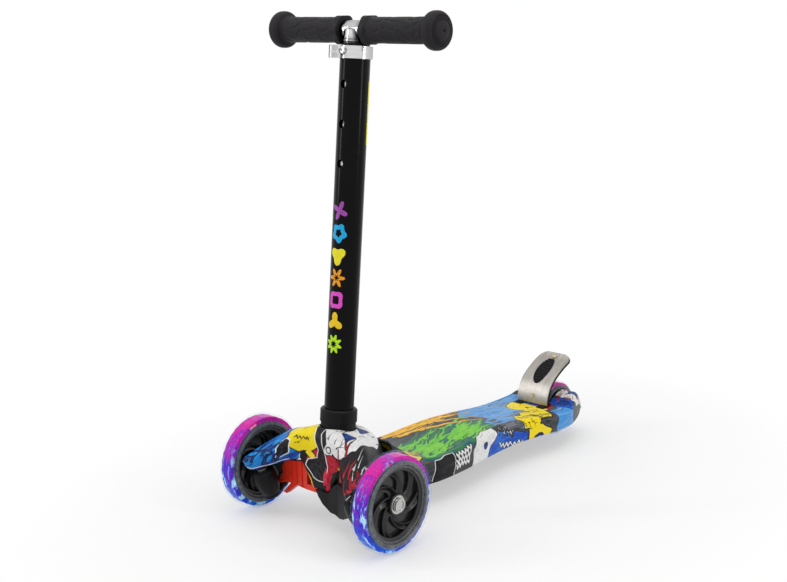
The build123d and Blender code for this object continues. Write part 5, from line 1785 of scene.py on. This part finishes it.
# ---------------------------------------------------------------- studio
@dataclass
class Studio:
    """The pale floor, the soft lamps, the white surroundings and the camera.

    Angles in degrees, lengths in metres, the lens and its sensor in millimetres. The light level is
    how strongly the white surroundings light the object, where 1 is white to the eye.
    """

    azimuth: float = 42.39
    elevation: float = 12.38
    distance: float = 1.701
    lens: float = 59.94
    sensor: float = 36.0
    roll: float = -0.66
    aim_right: float = -0.06442
    aim_up: float = 0.25602
    light_level: float = 0.40
    floor_size: float = 40.0
    shadow_reach: tuple[float, float] = (0.28, 0.62)
    shadow_wide: float = 1.35

    def camera(self) -> None:
        """Places the camera; the aim lies off the origin along the camera's right and up the axis Z."""
        a, e, turn = (math.radians(v) for v in (self.azimuth, self.elevation, self.roll))
        back = Vector((math.sin(a) * math.cos(e), -math.cos(a) * math.cos(e), math.sin(e)))
        right = Vector((math.cos(a), math.sin(a), 0))
        up = back.cross(right)
        aim = right * self.aim_right + Vector((0, 0, self.aim_up))
        x_axis = right * math.cos(turn) + up * math.sin(turn)
        y_axis = up * math.cos(turn) - right * math.sin(turn)
        lens = bpy.data.cameras.new("camera")
        lens.lens, lens.sensor_width = self.lens, self.sensor
        lens.clip_start, lens.clip_end = 0.05, 60.0
        camera = bpy.data.objects.new("camera", lens)
        camera.matrix_world = Matrix.Translation(aim + back * self.distance) @ Matrix(
            (x_axis, y_axis, back)).transposed().to_4x4()
        bpy.context.scene.collection.objects.link(camera)
        bpy.context.scene.camera = camera

    def seen(self, tree: bpy.types.NodeTree) -> Socket:
        """The sum of the camera, glossy and transmission ray flags: 0 for rays that light the object.

        Args:
            tree: the node tree of the floor or the world.

        Returns:
            The clamped sum.
        """
        path = tree.nodes.new("ShaderNodeLightPath")
        total = path.outputs["Is Camera Ray"]
        for name in ("Is Glossy Ray", "Is Transmission Ray"):
            add = tree.nodes.new("ShaderNodeMath")
            add.operation, add.use_clamp = "ADD", True
            tree.links.new(total, add.inputs[0])
            tree.links.new(path.outputs[name], add.inputs[1])
            total = add.outputs[0]
        return total

    def surroundings(self) -> None:
        """White for what looks at it, a soft pale grey for what it lights."""
        world = bpy.data.worlds.new("surroundings")
        world.use_nodes = True
        bpy.context.scene.world = world
        tree = world.node_tree
        glow = tree.nodes["Background"]
        glow.inputs["Color"].default_value = (1, 1, 1, 1)
        level = tree.nodes.new("ShaderNodeMapRange")
        level.inputs["To Min"].default_value = self.light_level
        level.inputs["To Max"].default_value = 1.0
        tree.links.new(self.seen(tree), level.inputs["Value"])
        tree.links.new(level.outputs[0], glow.inputs["Strength"])

    def floor(self) -> None:
        """A pale floor that keeps the shadow near the object and fades to white further out.

        Formula: the fade follows the distance from the origin, with x stretched into an ellipse.
        """
        bpy.ops.mesh.primitive_plane_add(size=self.floor_size, location=(0, 0, 0))
        floor = bpy.context.object
        floor.name = "studio_floor"
        s = Shader("studio_floor")
        x, y, _ = s.split()
        away = s.length(s.math("MULTIPLY", x, self.shadow_wide), y)
        grain = s.noise(60, 3)
        s.set(Base_Color=s.blend(grain, (0.94, 0.94, 0.945), (0.98, 0.98, 0.985)), Roughness=0.6)
        s.set(Specular_IOR_Level=0.15)
        glow = s.node("ShaderNodeEmission", {"Color": (1.0, 1.0, 1.0), "Strength": 1.0})
        fade = s.math("MULTIPLY", s.ramp(away, *self.shadow_reach, 0.45, 1.0), self.seen(s.tree))
        mixed = s.node("ShaderNodeMixShader", {0: fade, 1: s.surface.outputs[0], 2: glow.outputs[0]})
        s.tree.links.new(mixed.outputs[0], s.tree.nodes["Material Output"].inputs["Surface"])
        floor.data.materials.append(s.material)

    def lamp(self, name: str, spot: Sequence[float], size: tuple[float, float], power: float) -> None:
        """One soft lamp that looks at the object's middle.

        Args:
            name: the lamp's name.
            spot: where it stands.
            size: its width and height.
            power: its power in watts.
        """
        light = bpy.data.lights.new(name, "AREA")
        light.shape, light.size, light.size_y, light.energy = "RECTANGLE", size[0], size[1], power
        lamp = bpy.data.objects.new(name, light)
        lamp.location = spot
        lamp.rotation_mode = "QUATERNION"
        lamp.rotation_quaternion = (Vector((0, 0, 0.25)) - Vector(spot)).to_track_quat("-Z", "Y")
        bpy.context.scene.collection.objects.link(lamp)

    def build(self) -> None:
        """Sets up the whole studio."""
        bpy.context.scene.view_settings.view_transform = "Standard"
        self.surroundings()
        self.floor()
        self.lamp("overhead_softbox", (0.2, -0.3, 2.2), (2.4, 2.4), 25)
        self.lamp("left_softbox", (-1.3, -1.5, 1.1), (0.2, 1.6), 8.5)
        self.lamp("right_softbox", (1.9, 0.3, 1.1), (0.25, 1.6), 9.5)
        self.camera()


def main() -> None:
    """Builds every piece in order and reports it."""
    logging.basicConfig(level=logging.INFO, format="%(name)s: %(message)s")
    DeckShell().build(PrintedShell("printed_deck", SLATE, DECK_INKS).make())
    NoseCover().build(PrintedShell("printed_nose", INK, NOSE_INKS).make())
    lamp = Lamp("lamp_window").make()
    bearing = Metal("bearing_steel", (0.55, 0.53, 0.48), 0.25).make()
    for side in Side:
        prefix = f"front_{side.word}"
        Wheel.from_frame(prefix, f"{side.word}_wheel", side, 14.0, 3.0).build(lamp, bearing)
    Wheel.from_frame("rear", "back_wheel", Side.LEFT, 11.0, 2.5).build(lamp, bearing)
    column = Column.from_frame()
    column.marks()
    # the screw head's colour is painted darker edge-on, a painted reflection
    column.clamp_head(Metal("screw_head_steel", (0.60, 0.60, 0.60), 0.2, (700, 700, 700), edge=0.7).make())
    fairing = Moulded("knuckle_plastic", (0.007, 0.007, 0.008), 0.36, 1600, 0.00005).make()
    for side in Side:
        KnuckleFairing.from_frame(side).build(fairing)
    rubber = Moulded("grip_rubber", (0.020, 0.018, 0.021), 0.58, 2400, 0.00008).make()
    for side in Side:
        Grip.from_frame(side).build(rubber)
    Hardware().dress_all()
    Studio().build()


if __name__ == "__main__":
    main()
